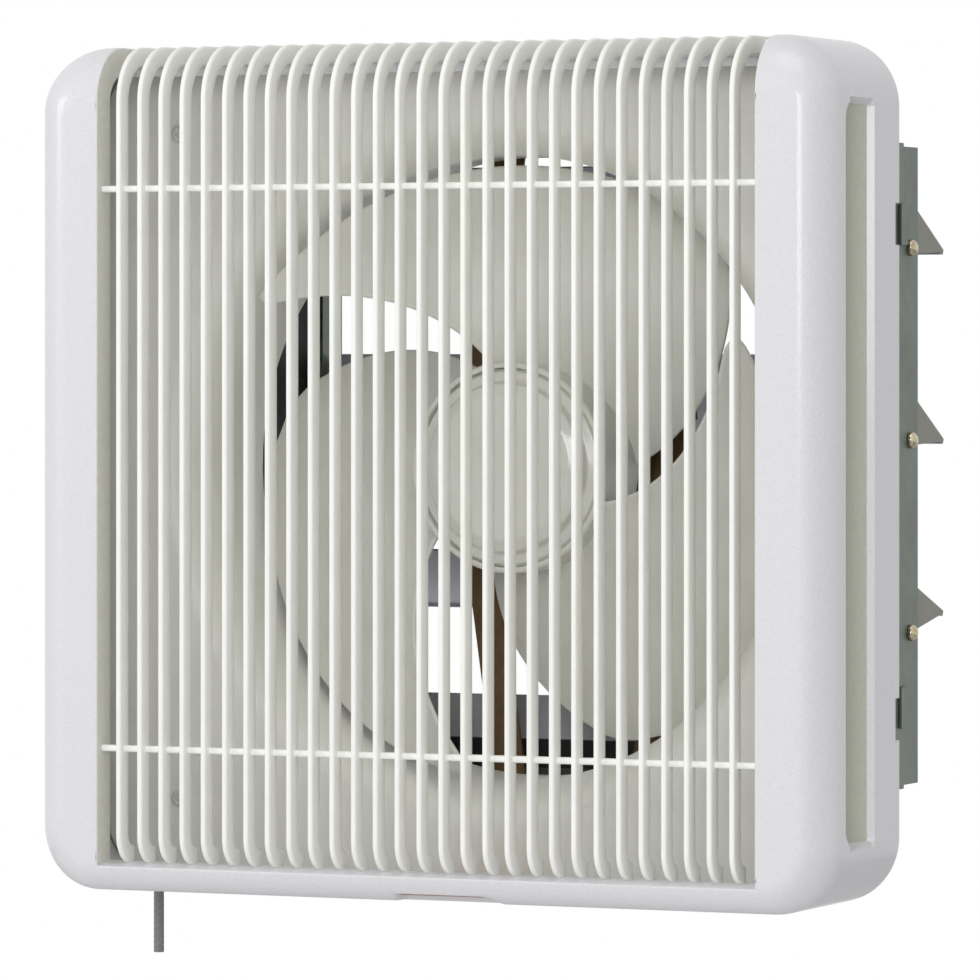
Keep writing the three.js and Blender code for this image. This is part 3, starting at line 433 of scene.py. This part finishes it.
def pressed(points, inner):
    """Presses the side grips and the bottom notch into the skin, each with walls `inner` mm wider."""
    x, y, z = points[..., 0], points[..., 1], points[..., 2]
    q = inside(y, z, GRIP_FRONT, GRIP_REAR, -GRIP_HALF, GRIP_HALF, *GRIP_CORNERS) + inner
    floor = COVER_HALF_WIDTH - inner - grip_depth(y)
    excess = smooth(q / PRESS_EASE) * np.maximum(np.abs(x) - floor, 0) * (np.abs(x) > 150)
    left, right, rear, top = NOTCH
    q = inside(x, -y, left, right, -rear, 200, 0.5, 0.5) + inner
    raised = smooth(q / PRESS_EASE) * np.maximum(top + inner - z, 0) * (z < 0)
    return np.stack([x - np.sign(x) * excess, y, z + raised], -1)


def drawn_back(moved, reference, edge, edge_in, back):
    """Row by row, moves the points whose reference lies on the opening's edge away from the opening."""
    result = moved.copy()
    for row in range(len(reference)):
        near = np.linalg.norm(reference[row][:, None] - edge[None], axis=-1)
        hit = near.min(1) < 0.01
        result[row][hit] -= back * edge_in[near.argmin(1)[hit]]
    return result


def cover_shells():
    """The skin: from the rim straight forward, then round by inset a(1 - cos t) / (1 - cos T) and depth
    b(1 - sin t / sin T) up to the last angle T, then a flat strip to the opening. A second skin lies one
    wall inside, and a lip runs in round the opening."""
    stations, n_across, n_up, n_arc = cover_outline()
    centre, normal, rounds = stations[:, :2], stations[:, 2:4], stations[:, 4:]
    side_straight = COVER_DEPTH - SIDE_ROUND[1]
    top_row = OPENING_REAR * side_straight / (COVER_DEPTH - TOP_ROUND[1])
    # The rows' distances from the wall, closer together at the grips' edges.
    distances = [0, 1.2, RIM_NOTCH[0], 6, 13, 20, 25, 28.2, 29, 29.4, 29.8, 30.6, 32, 35, 38, 41, 44,
                 top_row, 51, 54, 57, 59, 60.2, 61.2, 62]
    straight = np.array(distances) / side_straight
    rail_angle = math.acos(1 - RAIL / BOTTOM_ROUND[0]) / (math.pi / 2)
    turn = np.sort(np.append(np.linspace(0, 1, 13)[1:], rail_angle))
    row_notch = int(np.argmin(np.abs(straight - RIM_NOTCH[0] / side_straight)))
    row_top = int(np.argmin(np.abs(straight - top_row / side_straight)))
    row_rail = len(straight) + int(np.argmin(np.abs(turn - rail_angle)))
    a, b, last = rounds[:, 0], rounds[:, 1], rounds[:, 2]
    angle = turn[:, None] * last
    inset = np.vstack([0 * straight[:, None] * a, a * (1 - np.cos(angle)) / (1 - np.cos(last))])
    y = np.vstack([-straight[:, None] * (COVER_DEPTH - b),
                   -COVER_DEPTH + b * (1 - np.sin(angle) / np.sin(last))])
    tilt = np.vstack([0 * straight[:, None] * a, angle])
    skin = np.stack([centre[:, 0] + (COVER_CORNER - inset) * normal[:, 0], y,
                     centre[:, 1] + (COVER_CORNER - inset) * normal[:, 1]], -1)
    out = np.stack([normal[:, 0] * np.cos(tilt), -np.sin(tilt), normal[:, 1] * np.cos(tilt)], -1)
    rows, columns = y.shape
    # Stations at the opening's edges: bottom left and right, top right and left.
    low_left, low_right = 1, n_across - 2
    up_right = n_across + n_arc + n_up + n_arc + 1
    up_left = up_right + n_across - 3

    def strip(first, last_station, side):
        """The flat strip beside the opening, from the round's end to the opening's straight edge."""
        picks = np.arange(first, last_station + 1) % columns
        edge = skin[-1, picks]
        length = np.concatenate([[0], np.cumsum(np.linalg.norm(np.diff(edge, axis=0), axis=1))])
        rise = edge[0, 2] + (edge[-1, 2] - edge[0, 2]) * length / length[-1]
        front_edge = np.full(len(picks), -COVER_DEPTH)
        target = np.stack([np.full(len(picks), side * OPENING_HALF), front_edge, rise], -1)
        share = np.linspace(0, 1, 6)[:, None, None]
        points = edge * (1 - share) + target * share
        points[..., 1] = -COVER_DEPTH
        return points

    right = strip(low_right, up_right, 1)
    left = strip(up_left, columns + low_left, -1)
    front = np.array([0.0, -1.0, 0.0])
    inward_right, inward_left = np.array([-1.0, 0, 0]), np.array([1.0, 0, 0])
    along = np.gradient(skin, axis=0)
    along /= np.linalg.norm(along, axis=-1, keepdims=True)

    def segment(points, normals, towards):
        return [np.broadcast_to(v, points.shape).reshape(-1, 3) for v in (points, normals, towards)]

    low = slice(low_left, low_right + 1)
    top = slice(up_right, up_left + 1)
    parts = [
        segment(skin[row_rail, low], out[row_rail, low], along[row_rail, low]),
        segment(skin[row_rail:, low_right], out[row_rail:, low_right], inward_right),
        segment(right[-1], front, inward_right),
        segment(skin[row_top:, up_right][::-1], out[row_top:, up_right][::-1], inward_right),
        segment(skin[row_top, top], out[row_top, top], along[row_top, top]),
        segment(skin[row_top:, up_left], out[row_top:, up_left], inward_left),
        segment(left[-1], front, inward_left),
        segment(skin[row_rail:, low_left][::-1], out[row_rail:, low_left][::-1], inward_left),
    ]
    # The opening's edge, point by point; where two sides meet, both directions count.
    edge, edge_out, edge_in = [], [], []
    for points, normals, towards in parts:
        for point, n, e in zip(points, normals, towards):
            if edge and np.linalg.norm(point - edge[-1]) < 0.01:
                if abs(edge_in[-1] @ e) < 0.5:
                    edge_in[-1] = edge_in[-1] + e
                continue
            edge.append(point)
            edge_out.append(n)
            edge_in.append(e)
    if np.linalg.norm(edge[0] - edge[-1]) < 0.01:
        edge_in[0] = edge_in[0] + edge_in[-1] * (abs(edge_in[0] @ edge_in[-1]) < 0.5)
        edge, edge_out, edge_in = edge[:-1], edge_out[:-1], edge_in[:-1]
    edge, edge_out, edge_in = np.array(edge), np.array(edge_out), np.array(edge_in)

    # The rim's notches: runs of stations on the straight sides.
    rise = centre[:, 1] * (np.abs(normal[:, 0]) > 0.999)
    notches = [np.flatnonzero((normal[:, 0] * side > 0) & (rise * sign > RIM_NOTCH[1] - 0.01)
                              & (rise * sign < RIM_NOTCH[2] + 0.01))
               for side in (1, -1) for sign in (1, -1)]
    gaps = np.zeros(columns, bool)
    for run in notches:
        gaps[run[:-1]] = True

    shells = []
    for inner in (0.0, COVER_WALL):
        back = LIP_EASE if inner == 0 else inner
        moved_skin = skin - inner * out
        strips = [right - inner * front, left - inner * front]

        border = sorted({*range(low_left, low_right + 1), *range(up_right, up_left + 1)})
        moved_skin[:, border] = drawn_back(moved_skin[:, border], skin[:, border], edge, edge_in, back)
        strips = [drawn_back(s, r, edge, edge_in, back) for s, r in zip(strips, (right, left))]
        points, quads = grid(pressed(moved_skin, inner), wrap_columns=True)
        cell_row, cell_column = np.divmod(np.arange(len(quads)), columns)
        open_low = (cell_column >= low_left) & (cell_column < low_right) & (cell_row >= row_rail)
        open_top = (cell_column >= up_right) & (cell_column < up_left) & (cell_row >= row_top)
        notched = gaps[cell_column] & (cell_row < row_notch)
        shells.append((points, quads[~(open_low | open_top | notched)]))
        shells += [grid(pressed(s, inner)) for s in strips]
    arc = np.linspace(0, np.pi / 2, 5)[:, None, None]
    rounded = (edge - LIP_EASE * (edge_in + edge_out)
               + LIP_EASE * (edge_out * np.cos(arc) + edge_in * np.sin(arc)))
    lip_end = edge - LIP_DEPTH * edge_out
    lip = np.concatenate([rounded, lip_end[None], (lip_end - COVER_WALL * edge_in)[None],
                          (edge - COVER_WALL * (edge_out + edge_in))[None]])
    shells.append(grid(lip, wrap_columns=True))
    inner_skin = skin - COVER_WALL * out
    points, quads = grid(np.stack([skin[0], inner_skin[0]]), wrap_columns=True)
    shells.append((points, quads[~gaps]))
    for run in notches:
        down = np.arange(row_notch + 1)
        rows_round = np.concatenate([down, np.full(len(run), row_notch), down[::-1]])
        columns_round = np.concatenate([np.full(len(down), run[0]), run, np.full(len(down), run[-1])])
        walk = rows_round, columns_round
        shells.append(grid(np.stack([skin[walk], inner_skin[walk]])))
    return shells


def grip_floors(centres, normals):
    """The floors of the two side grips, which face outwards below the skin; they get painted shade."""
    x, y, z = centres.T
    deep = COVER_HALF_WIDTH - np.abs(x)
    return ((deep < GRIP_DEPTHS[0] + 1) & (deep > GRIP_DEPTHS[1] - 1) & (normals[:, 0] * np.sign(x) > 0.85)
            & (y > GRIP_FRONT) & (y < GRIP_REAR) & (np.abs(z) < GRIP_HALF))


def lip_sides(centres, normals):
    """The two upright walls that run in from the front beside the slats, which get painted shade."""
    x, y, z = centres.T
    inwards = normals[:, 0] * np.sign(x) < -0.8
    return inwards & (np.abs(np.abs(x) - OPENING_HALF) < 1.0) & (np.abs(z) < COVER_HALF_HEIGHT - 4)


cover = piece("cover_moulding", cover_shells(), cover_plastic,
              stands_for=["cover_shell"])
# Painted shade on the grips' floors.
second_finish(cover, grip_painted_shade, grip_floors)
# Painted shade on the upright walls beside the slats.
second_finish(cover, lip_painted_shade, lip_sides)


# ---------- slats ----------
def rounded_section(width, depth, radius):
    """A rectangle centred on 0 across and running from 0 to `depth`, with rounded corners, as (n, 2)."""
    w = width / 2
    arc = np.linspace(0, np.pi / 2, 4)
    corners = [(w - radius, depth - radius, 0), (-w + radius, depth - radius, np.pi / 2),
               (-w + radius, radius, np.pi), (w - radius, radius, 1.5 * np.pi)]
    return np.concatenate([np.stack([a + radius * np.cos(arc + t), b + radius * np.sin(arc + t)], -1)
                           for a, b, t in corners])


def slat_shells():
    """Each slat carries a rounded section along one path: up the front, over the top and a short way
    back. Two crossbars and the rail at the slats' rear end join them."""
    front, top = -COVER_DEPTH, COVER_HALF_HEIGHT
    low = -COVER_HALF_HEIGHT + RAIL + GAP
    foot, head = BOTTOM_ROUND[0], TOP_ROUND[0]
    t = np.linspace(0, np.pi / 2, 12)
    lower = np.stack([front + foot - foot * np.sin(t), low + foot - foot * np.cos(t)], -1)
    upper = np.stack([front + head - head * np.cos(t), top - head + head * np.sin(t)], -1)
    path = np.vstack([lower, upper, [[-OPENING_REAR - GAP, top]]])
    inward = np.vstack([np.stack([np.sin(t), np.cos(t)], -1), np.stack([np.cos(t), -np.sin(t)], -1),
                        [[0, -1]]])
    section = rounded_section(SLAT_THICK, SLAT_DEPTH, 0.85)
    line = path[:, None] + inward[:, None] * section[None, :, 1:]
    shells = []
    for i in range(SLAT_COUNT):
        x = (i - (SLAT_COUNT - 1) / 2) * SLAT_PITCH + section[:, 0]
        points = np.concatenate([np.broadcast_to(x[None, :, None], (*line.shape[:2], 1)), line], -1)
        shells += [grid(points, wrap_columns=True), cap(points[0]), cap(points[-1])]
    end = OPENING_HALF - GAP
    bars = [(z, rounded_section(2.8, 4.0, 0.9), front + 3.5) for z in (-CROSSBARS_AT, CROSSBARS_AT)]
    bars.append((COVER_HALF_HEIGHT - SLAT_DEPTH / 2 - 0.7, rounded_section(SLAT_DEPTH - 1.4, 2.5, 0.7),
                 -OPENING_REAR - 2.8))
    for z, bar, y in bars:
        ring = np.stack([0 * bar[:, 0], y + bar[:, 1], z + bar[:, 0]], -1)
        points = np.stack([ring + [-end, 0, 0], ring + [end, 0, 0]])
        shells += [grid(points, wrap_columns=True), cap(points[0]), cap(points[1])]
    return shells


piece("slats", slat_shells(), slat_plastic, stands_for=["grille_slats"], sharp=50)


# ---------- panel with the fan's mouth ----------
def panel_shells():
    """Rings about the axis: the throat, the mouth's quarter ellipse, the flat face blended from circle to
    rounded square, and the rim turned back. The same rings one wall further in close the shell."""
    angle = np.linspace(0, 2 * np.pi, 360, endpoint=False)
    direction = np.stack([np.cos(angle), np.sin(angle)], -1)
    quarter = np.linspace(0, np.pi / 2, 12)

    def square(half_x, half_z, corner):
        """The rounded square's outline at each station: as far out as its sides and corner arcs allow."""
        t = np.linspace(0, 2 * np.pi, 4000, endpoint=False)
        c, s = np.cos(t), np.sin(t)
        x = np.sign(c) * (half_x - corner) + corner * c
        z = np.sign(s) * (half_z - corner) + corner * s
        outline = np.stack([x, z], -1)
        bearing = np.arctan2(outline[:, 1], outline[:, 0])
        order = np.argsort(bearing % (2 * np.pi))
        keys = (bearing % (2 * np.pi))[order]
        keys = np.concatenate([keys - 2 * np.pi, keys, keys + 2 * np.pi])
        around = np.concatenate([outline[order]] * 3)
        return np.stack([np.interp(angle, keys, around[:, 0]), np.interp(angle, keys, around[:, 1])], -1)

    half_x = COVER_HALF_WIDTH - COVER_WALL - GAP
    half_z = COVER_HALF_HEIGHT - COVER_WALL - GAP
    corner = COVER_CORNER - COVER_WALL - GAP

    def skin(inner):
        rows = [(THROAT + inner, THROAT_REAR)]
        rows += [(THROAT + MOUTH_REACH - (MOUTH_REACH - inner) * np.cos(q),
                  PANEL_FRONT + MOUTH_DEPTH - (MOUTH_DEPTH - inner) * np.sin(q)) for q in quarter]
        rings = [np.column_stack([r * direction[:, 0], np.full(len(angle), y), r * direction[:, 1]])
                 for r, y in rows]
        circle = rings[-1][:, [0, 2]]
        flat_edge = square(half_x - PANEL_EASE, half_z - PANEL_EASE, corner - PANEL_EASE)
        for share in (0.3, 0.7, 1.0):
            flat = circle * (1 - share) + flat_edge * share
            y = np.full(len(angle), PANEL_FRONT + inner)
            rings.append(np.column_stack([flat[:, 0], y, flat[:, 1]]))
        for q in quarter[::3][1:]:
            reach = (PANEL_EASE - inner) * math.sin(q) - PANEL_EASE
            y = PANEL_FRONT + PANEL_EASE - (PANEL_EASE - inner) * math.cos(q)
            edge = square(half_x + reach, half_z + reach, corner + reach)
            rings.append(np.column_stack([edge[:, 0], np.full(len(angle), y), edge[:, 1]]))
        edge = square(half_x - inner, half_z - inner, corner - inner)
        rings.append(np.column_stack([edge[:, 0], np.full(len(angle), PANEL_RIM), edge[:, 1]]))
        return np.stack(rings)

    outer, inner = skin(0.0), skin(PANEL_WALL)
    both = np.concatenate([outer, inner[::-1]])
    return [grid(both, wrap_rows=True, wrap_columns=True)]


piece("mouth_panel", panel_shells(), panel_plastic, stands_for=["orifice_panel"])


# ---------- impeller and spinner ----------
def blade_shell(turn):
    """A blade's middle surface, with t from root to tip and s from the leading to the trailing edge: the
    angle falls by the span from a leading edge that sweeps forward, and y rises as s^BLADE_CAMBER. Near
    the tip both corners round off by 1 - sqrt(1 - k^2). Its normals carry half the thickness each way."""
    root = HUB - 1.2

    def middle(s, t):
        r = root + (BLADE_TIP - root) * t
        k = np.clip((r - BLADE_TIP + TIP_CORNER) / TIP_CORNER, 0, 1)
        off = 1 - np.sqrt(1 - k * k)
        s = LEAD_ROUND * off + s * (1 - (LEAD_ROUND + TRAIL_ROUND) * off)
        angle = np.radians(BLADE_START + BLADE_SWEEP * (r - root) - BLADE_SPAN * s + turn)
        lead = BLADE_LEAD[0] + (BLADE_LEAD[1] - BLADE_LEAD[0]) * t
        trail = BLADE_TRAIL[0] + (BLADE_TRAIL[1] - BLADE_TRAIL[0]) * t
        y = lead + (trail - lead) * np.maximum(s, 1e-9) ** BLADE_CAMBER
        return np.stack([r * np.cos(angle), y, r * np.sin(angle)], -1)

    edge, tip_edge = 0.008, 0.014
    ends = edge * np.array([0, 0.06, 0.2, 0.45, 0.8, 1.2])
    s = np.concatenate([ends, np.linspace(0.02, 0.98, 60), 1 - ends[::-1]])
    t = np.concatenate([[0, 0.002], np.linspace(0.02, 1 - 1.3 * tip_edge, 28),
                        1 - tip_edge * np.array([0.8, 0.45, 0.2, 0.06, 0])])
    s, t = np.meshgrid(s, t)
    step = 1e-3
    held_s, held_t = np.clip(s, step, 1 - step), t
    ds = middle(held_s + step, held_t) - middle(held_s - step, held_t)
    dt = middle(held_s, held_t + step) - middle(held_s, held_t - step)
    normal = np.cross(ds, dt)
    normal /= np.linalg.norm(normal, axis=-1, keepdims=True)

    def taper(distance, width):
        return np.sqrt(1 - (1 - np.clip(distance / width, 0, 1)) ** 2)

    half = BLADE_HALF_THICK * taper(np.minimum(s, 1 - s), edge) * taper(1 - t, tip_edge) * taper(t, 0.002)
    offset = normal * half[..., None]
    centre = middle(s, t)
    loop = np.concatenate([centre + offset, (centre - offset)[:, ::-1]], axis=1)
    return grid(loop, wrap_columns=True)


hub_profile = filleted([
    (4.3, 24, 0), (42.9, 24, 0.4), (42.9, HUB_FRONT, 0.5), (HUB, HUB_FRONT, 1.6), (HUB, HUB_REAR, 0.8),
    (43.1, HUB_REAR, 0.5), (43.1, 26.4, 0.6), (9, 26.4, 0.6), (9, 46, 0.5), (4.3, 46, 0), (4.3, 24, 0)])
piece("impeller_moulding", [turned(hub_profile)] + [blade_shell(a) for a in (0, 120, 240)], blade_plastic,
      "rotor", ["impeller"], sharp=45)

spinner_profile = filleted([
    (0, 4, 0), (31, 4.4, 6), (36, 6.6, 1.5), (37.2, 10.5, 1.2), (41.2, 11.4, 1), (42.8, 13.5, 1),
    (42.8, 23.7, 0.4), (40.8, 23.7, 0.4), (40.8, 14.5, 1), (34, 13, 1), (34, 7.5, 1), (8, 6.8, 1),
    (8, 23.7, 0.4), (4.3, 23.7, 0.4), (4.3, 11.7, 0.3), (0, 11.7, 0)])
piece("spinner_moulding", [turned(spinner_profile, 160)], spinner_plastic, "rotor",
      ["spinner"], sharp=45)


# ---------- motor's front cap ----------
front_shell = filleted([
    (5, 50, 0), (38, 50, 4), (38, 71.8, 0), (36.4, 71.8, 0), (36.4, 51.6, 3), (11.3, 51.6, 0.5),
    (11.3, 58.6, 0), (9.3, 58.6, 0), (9.3, 51.6, 0.2), (5, 51.6, 0), (5, 50, 0)])
piece("motor_front_cap", [turned(front_shell, 96)], motor_paint,
      stands_for=["motor_shell_front"])


# ---------- nodes that keep their CAD shape ----------
def casing_inside(centres, normals):
    """The casing's faces that look towards its axis, behind the flange, which get painted shade."""
    x, y, z = centres.T
    return (normals[:, 0] * x + normals[:, 2] * z < -20) & (y > 2)


def sill_front(centres, normals):
    """The sill's face towards the room, pale, with a painted shadow band at its foot."""
    x, y, z = centres.T
    return (normals[:, 1] < -0.7) & (z < -100) & (y > 130)


def frame_sides(centres, normals):
    """The inner faces of the shutter frame's two upright sides, which get painted shade."""
    x, y, z = centres.T
    return (normals[:, 0] * np.sign(x) < -0.7) & (np.abs(x) > 130)


def cheeks(centres, normals):
    """A shutter blade's folded cheeks, which face left and right and get painted shade."""
    return np.abs(normals[:, 0]) > 0.7


# Each node, its finish, the width of its eased edges in mm, and what else is painted on it, painted shade
# and a painted shadow among them.
for node, surface, width, *others in (
        ("body_casing", zinc, 0.5, (zinc_painted_shade, casing_inside)),
        ("shutter_frame", zinc, 0.35, (sill_paint_and_painted_shadow, sill_front), (zinc_painted_shade, frame_sides)),
        ("link_bar", zinc, 0.25),
        ("shutter_blade_1", shutter_paint, 0.22, (cheek_painted_shade, cheeks)),
        ("shutter_blade_2", shutter_paint, 0.22, (cheek_painted_shade, cheeks)),
        ("shutter_blade_3", shutter_paint, 0.22, (cheek_painted_shade, cheeks)),
        ("motor_bracket", motor_paint, 0.35), ("motor_shell_rear", motor_paint, 0.4),
        ("pull_switch_body", panel_plastic, 0.35), ("pull_switch_lid", panel_plastic, 0.25),
        ("pull_slider", slat_plastic, 0.25), ("cord_guide", slat_plastic, 0.3),
        ("terminal_block", slat_plastic, 0.3), ("oil_tray", tray_plastic, 0.25),
        ("motor_shaft", bright_steel, 0.3), ("motor_rotor", lamination, 0.3),
        ("motor_stator", lamination, 0.3), ("bearing_front", bright_steel, 0.3),
        ("bearing_rear", bright_steel, 0.3), ("stator_coil_front", copper_winding, 0.5),
        ("stator_coil_rear", copper_winding, 0.5)):
    made = eased(node, width, surface)
    for material, picked in others:
        second_finish(made, material, picked)


# ---------- screws and pins ----------
def screw_head(x, z, seat):
    """A domed head h sqrt(1.08 - (r/R)^2) that faces the room, with a cross pressed in where |u| or |v|
    is small."""
    r = HEAD_RADIUS * np.concatenate([np.linspace(0, 0.94, 15), [0.98, 1, 1, 0.55]])[:, None]
    a = np.linspace(0, 2 * np.pi, 48, endpoint=False)[None]
    rise = HEAD_HEIGHT * np.sqrt(np.clip(1.08 - (r / HEAD_RADIUS) ** 2, 0, 1))
    rise[-2:] = 0
    u, v = r * np.cos(a), r * np.sin(a)
    across = smooth((CROSS_HALF - np.minimum(np.abs(u), np.abs(v))) / 0.25)
    rise = rise - CROSS_DEPTH * across * smooth((CROSS_REACH - r) / 0.5)
    return grid(np.stack([x + u, seat - rise, z + v], -1), wrap_columns=True)


def shank(x, z, start, end):
    """A plain round shank with closed ends."""
    a = np.linspace(0, 2 * np.pi, 32, endpoint=False)
    ring = np.stack([x + SHANK_RADIUS * np.cos(a), 0 * a, z + SHANK_RADIUS * np.sin(a)], -1)
    points = np.stack([ring + [0, start, 0], ring + [0, end, 0]])
    return [grid(points, wrap_columns=True), cap(points[0]), cap(points[1])]


def screw(node, x, z, seat, end, material):
    """In place of a CAD screw: a head on `seat`, and its shank back to `end`."""
    piece(node + "_turned", [screw_head(x, z, seat), *shank(x, z, seat, end)], material,
          stands_for=[node])


for i, (sx, sz) in enumerate([(-1, -1), (1, -1), (1, 1), (-1, 1)]):
    screw(f"panel_screw_{i + 1}", sx * PANEL_SCREWS_AT, sz * PANEL_SCREWS_AT, PANEL_SEAT,
          PANEL_SCREW_END, screw_paint)
for i, angle in enumerate((90, 210, 330)):
    turn = math.radians(angle)
    screw(f"motor_screw_{i + 1}", MOTOR_SCREWS_AT * math.cos(turn), MOTOR_SCREWS_AT * math.sin(turn),
          MOTOR_SEAT, MOTOR_SCREW_END, bright_steel)


def rivet(side, z):
    """A domed rivet on the X axis: a shank, a short flat flange and a dome h sqrt(1 - (r/R)^2)."""
    t = np.linspace(0, np.pi / 2, 14)
    dome = np.stack([HEAD_RADIUS * np.cos(t), RIVET_FACE + RIVET_FLAT + RIVET_DOME * np.sin(t)], -1)
    profile = np.vstack([[(0, RIVET_END), (SHANK_RADIUS, RIVET_END), (SHANK_RADIUS, RIVET_FACE),
                          (HEAD_RADIUS, RIVET_FACE), (HEAD_RADIUS, RIVET_FACE + RIVET_FLAT)], dome])
    a = np.linspace(0, 2 * np.pi, 40, endpoint=False)
    r = profile[:, 0][:, None]
    x = side * profile[:, 1][:, None] + 0 * a
    return grid(np.stack([x, RIVET_Y + r * np.cos(a), z + r * np.sin(a)], -1), wrap_columns=True)


for i, z in enumerate(PIVOTS_Z):
    for side, word in ((-1, "left"), (1, "right")):
        piece(f"rivet_{i + 1}_{word}", [rivet(side, z)], pin_gold,
              stands_for=[f"shutter_pin_{i + 1}_{word}"], sharp=50)


# ---------- floor, light and backdrop, in metres ----------
FLOOR, FLOOR_HALF = -0.9, 3
floor_mesh = bpy.data.meshes.new("floor")
floor_mesh.from_pydata([(sx * FLOOR_HALF, sy * FLOOR_HALF, FLOOR)
                        for sx, sy in ((-1, -1), (1, -1), (1, 1), (-1, 1))], [], [(0, 1, 2, 3)])
floor_mesh.materials.append(finish("floor_paint", (236, 236, 236), (240, 240, 240), 8, (0.7, 0.8)))
floor = bpy.data.objects.new("floor", floor_mesh)
scene.collection.objects.link(floor)


def lamp(name, place, size, watts):
    """A square area lamp at `place`, aimed at the fan's middle."""
    data = bpy.data.lights.new(name, "AREA")
    data.size, data.energy = size, watts
    made = bpy.data.objects.new(name, data)
    scene.collection.objects.link(made)
    made.location = place
    made.rotation_euler = (-Vector(place)).to_track_quat("-Z", "Y").to_euler()


lamp("key", (0.85, -2.65, 0.5), 0.9, 23)
lamp("top", (0.2, -0.8, 2.2), 1.2, 10)
lamp("side", (-2.2, -1.7, 0.7), 1.0, 20)

# The world is white to the camera and to mirrored and passing rays, and lights the part with less.
WORLD_LIGHT = 0.44
world = bpy.data.worlds.new("studio")
scene.world = world
world.use_nodes = True
tree = world.node_tree
back = tree.nodes["Background"]
rays = tree.nodes.new("ShaderNodeLightPath")
seen = tree.nodes.new("ShaderNodeMath")
seen.operation = "MAXIMUM"
shown = tree.nodes.new("ShaderNodeMath")
shown.operation = "MAXIMUM"
tree.links.new(rays.outputs["Is Camera Ray"], seen.inputs[0])
tree.links.new(rays.outputs["Is Glossy Ray"], seen.inputs[1])
tree.links.new(seen.outputs[0], shown.inputs[0])
tree.links.new(rays.outputs["Is Transmission Ray"], shown.inputs[1])
level = tree.nodes.new("ShaderNodeMapRange")
level.inputs["To Min"].default_value = WORLD_LIGHT
tree.links.new(shown.outputs[0], level.inputs["Value"])
tree.links.new(level.outputs["Result"], back.inputs["Strength"])
back.inputs["Color"].default_value = (1, 1, 1, 1)
scene.view_settings.view_transform = "Standard"
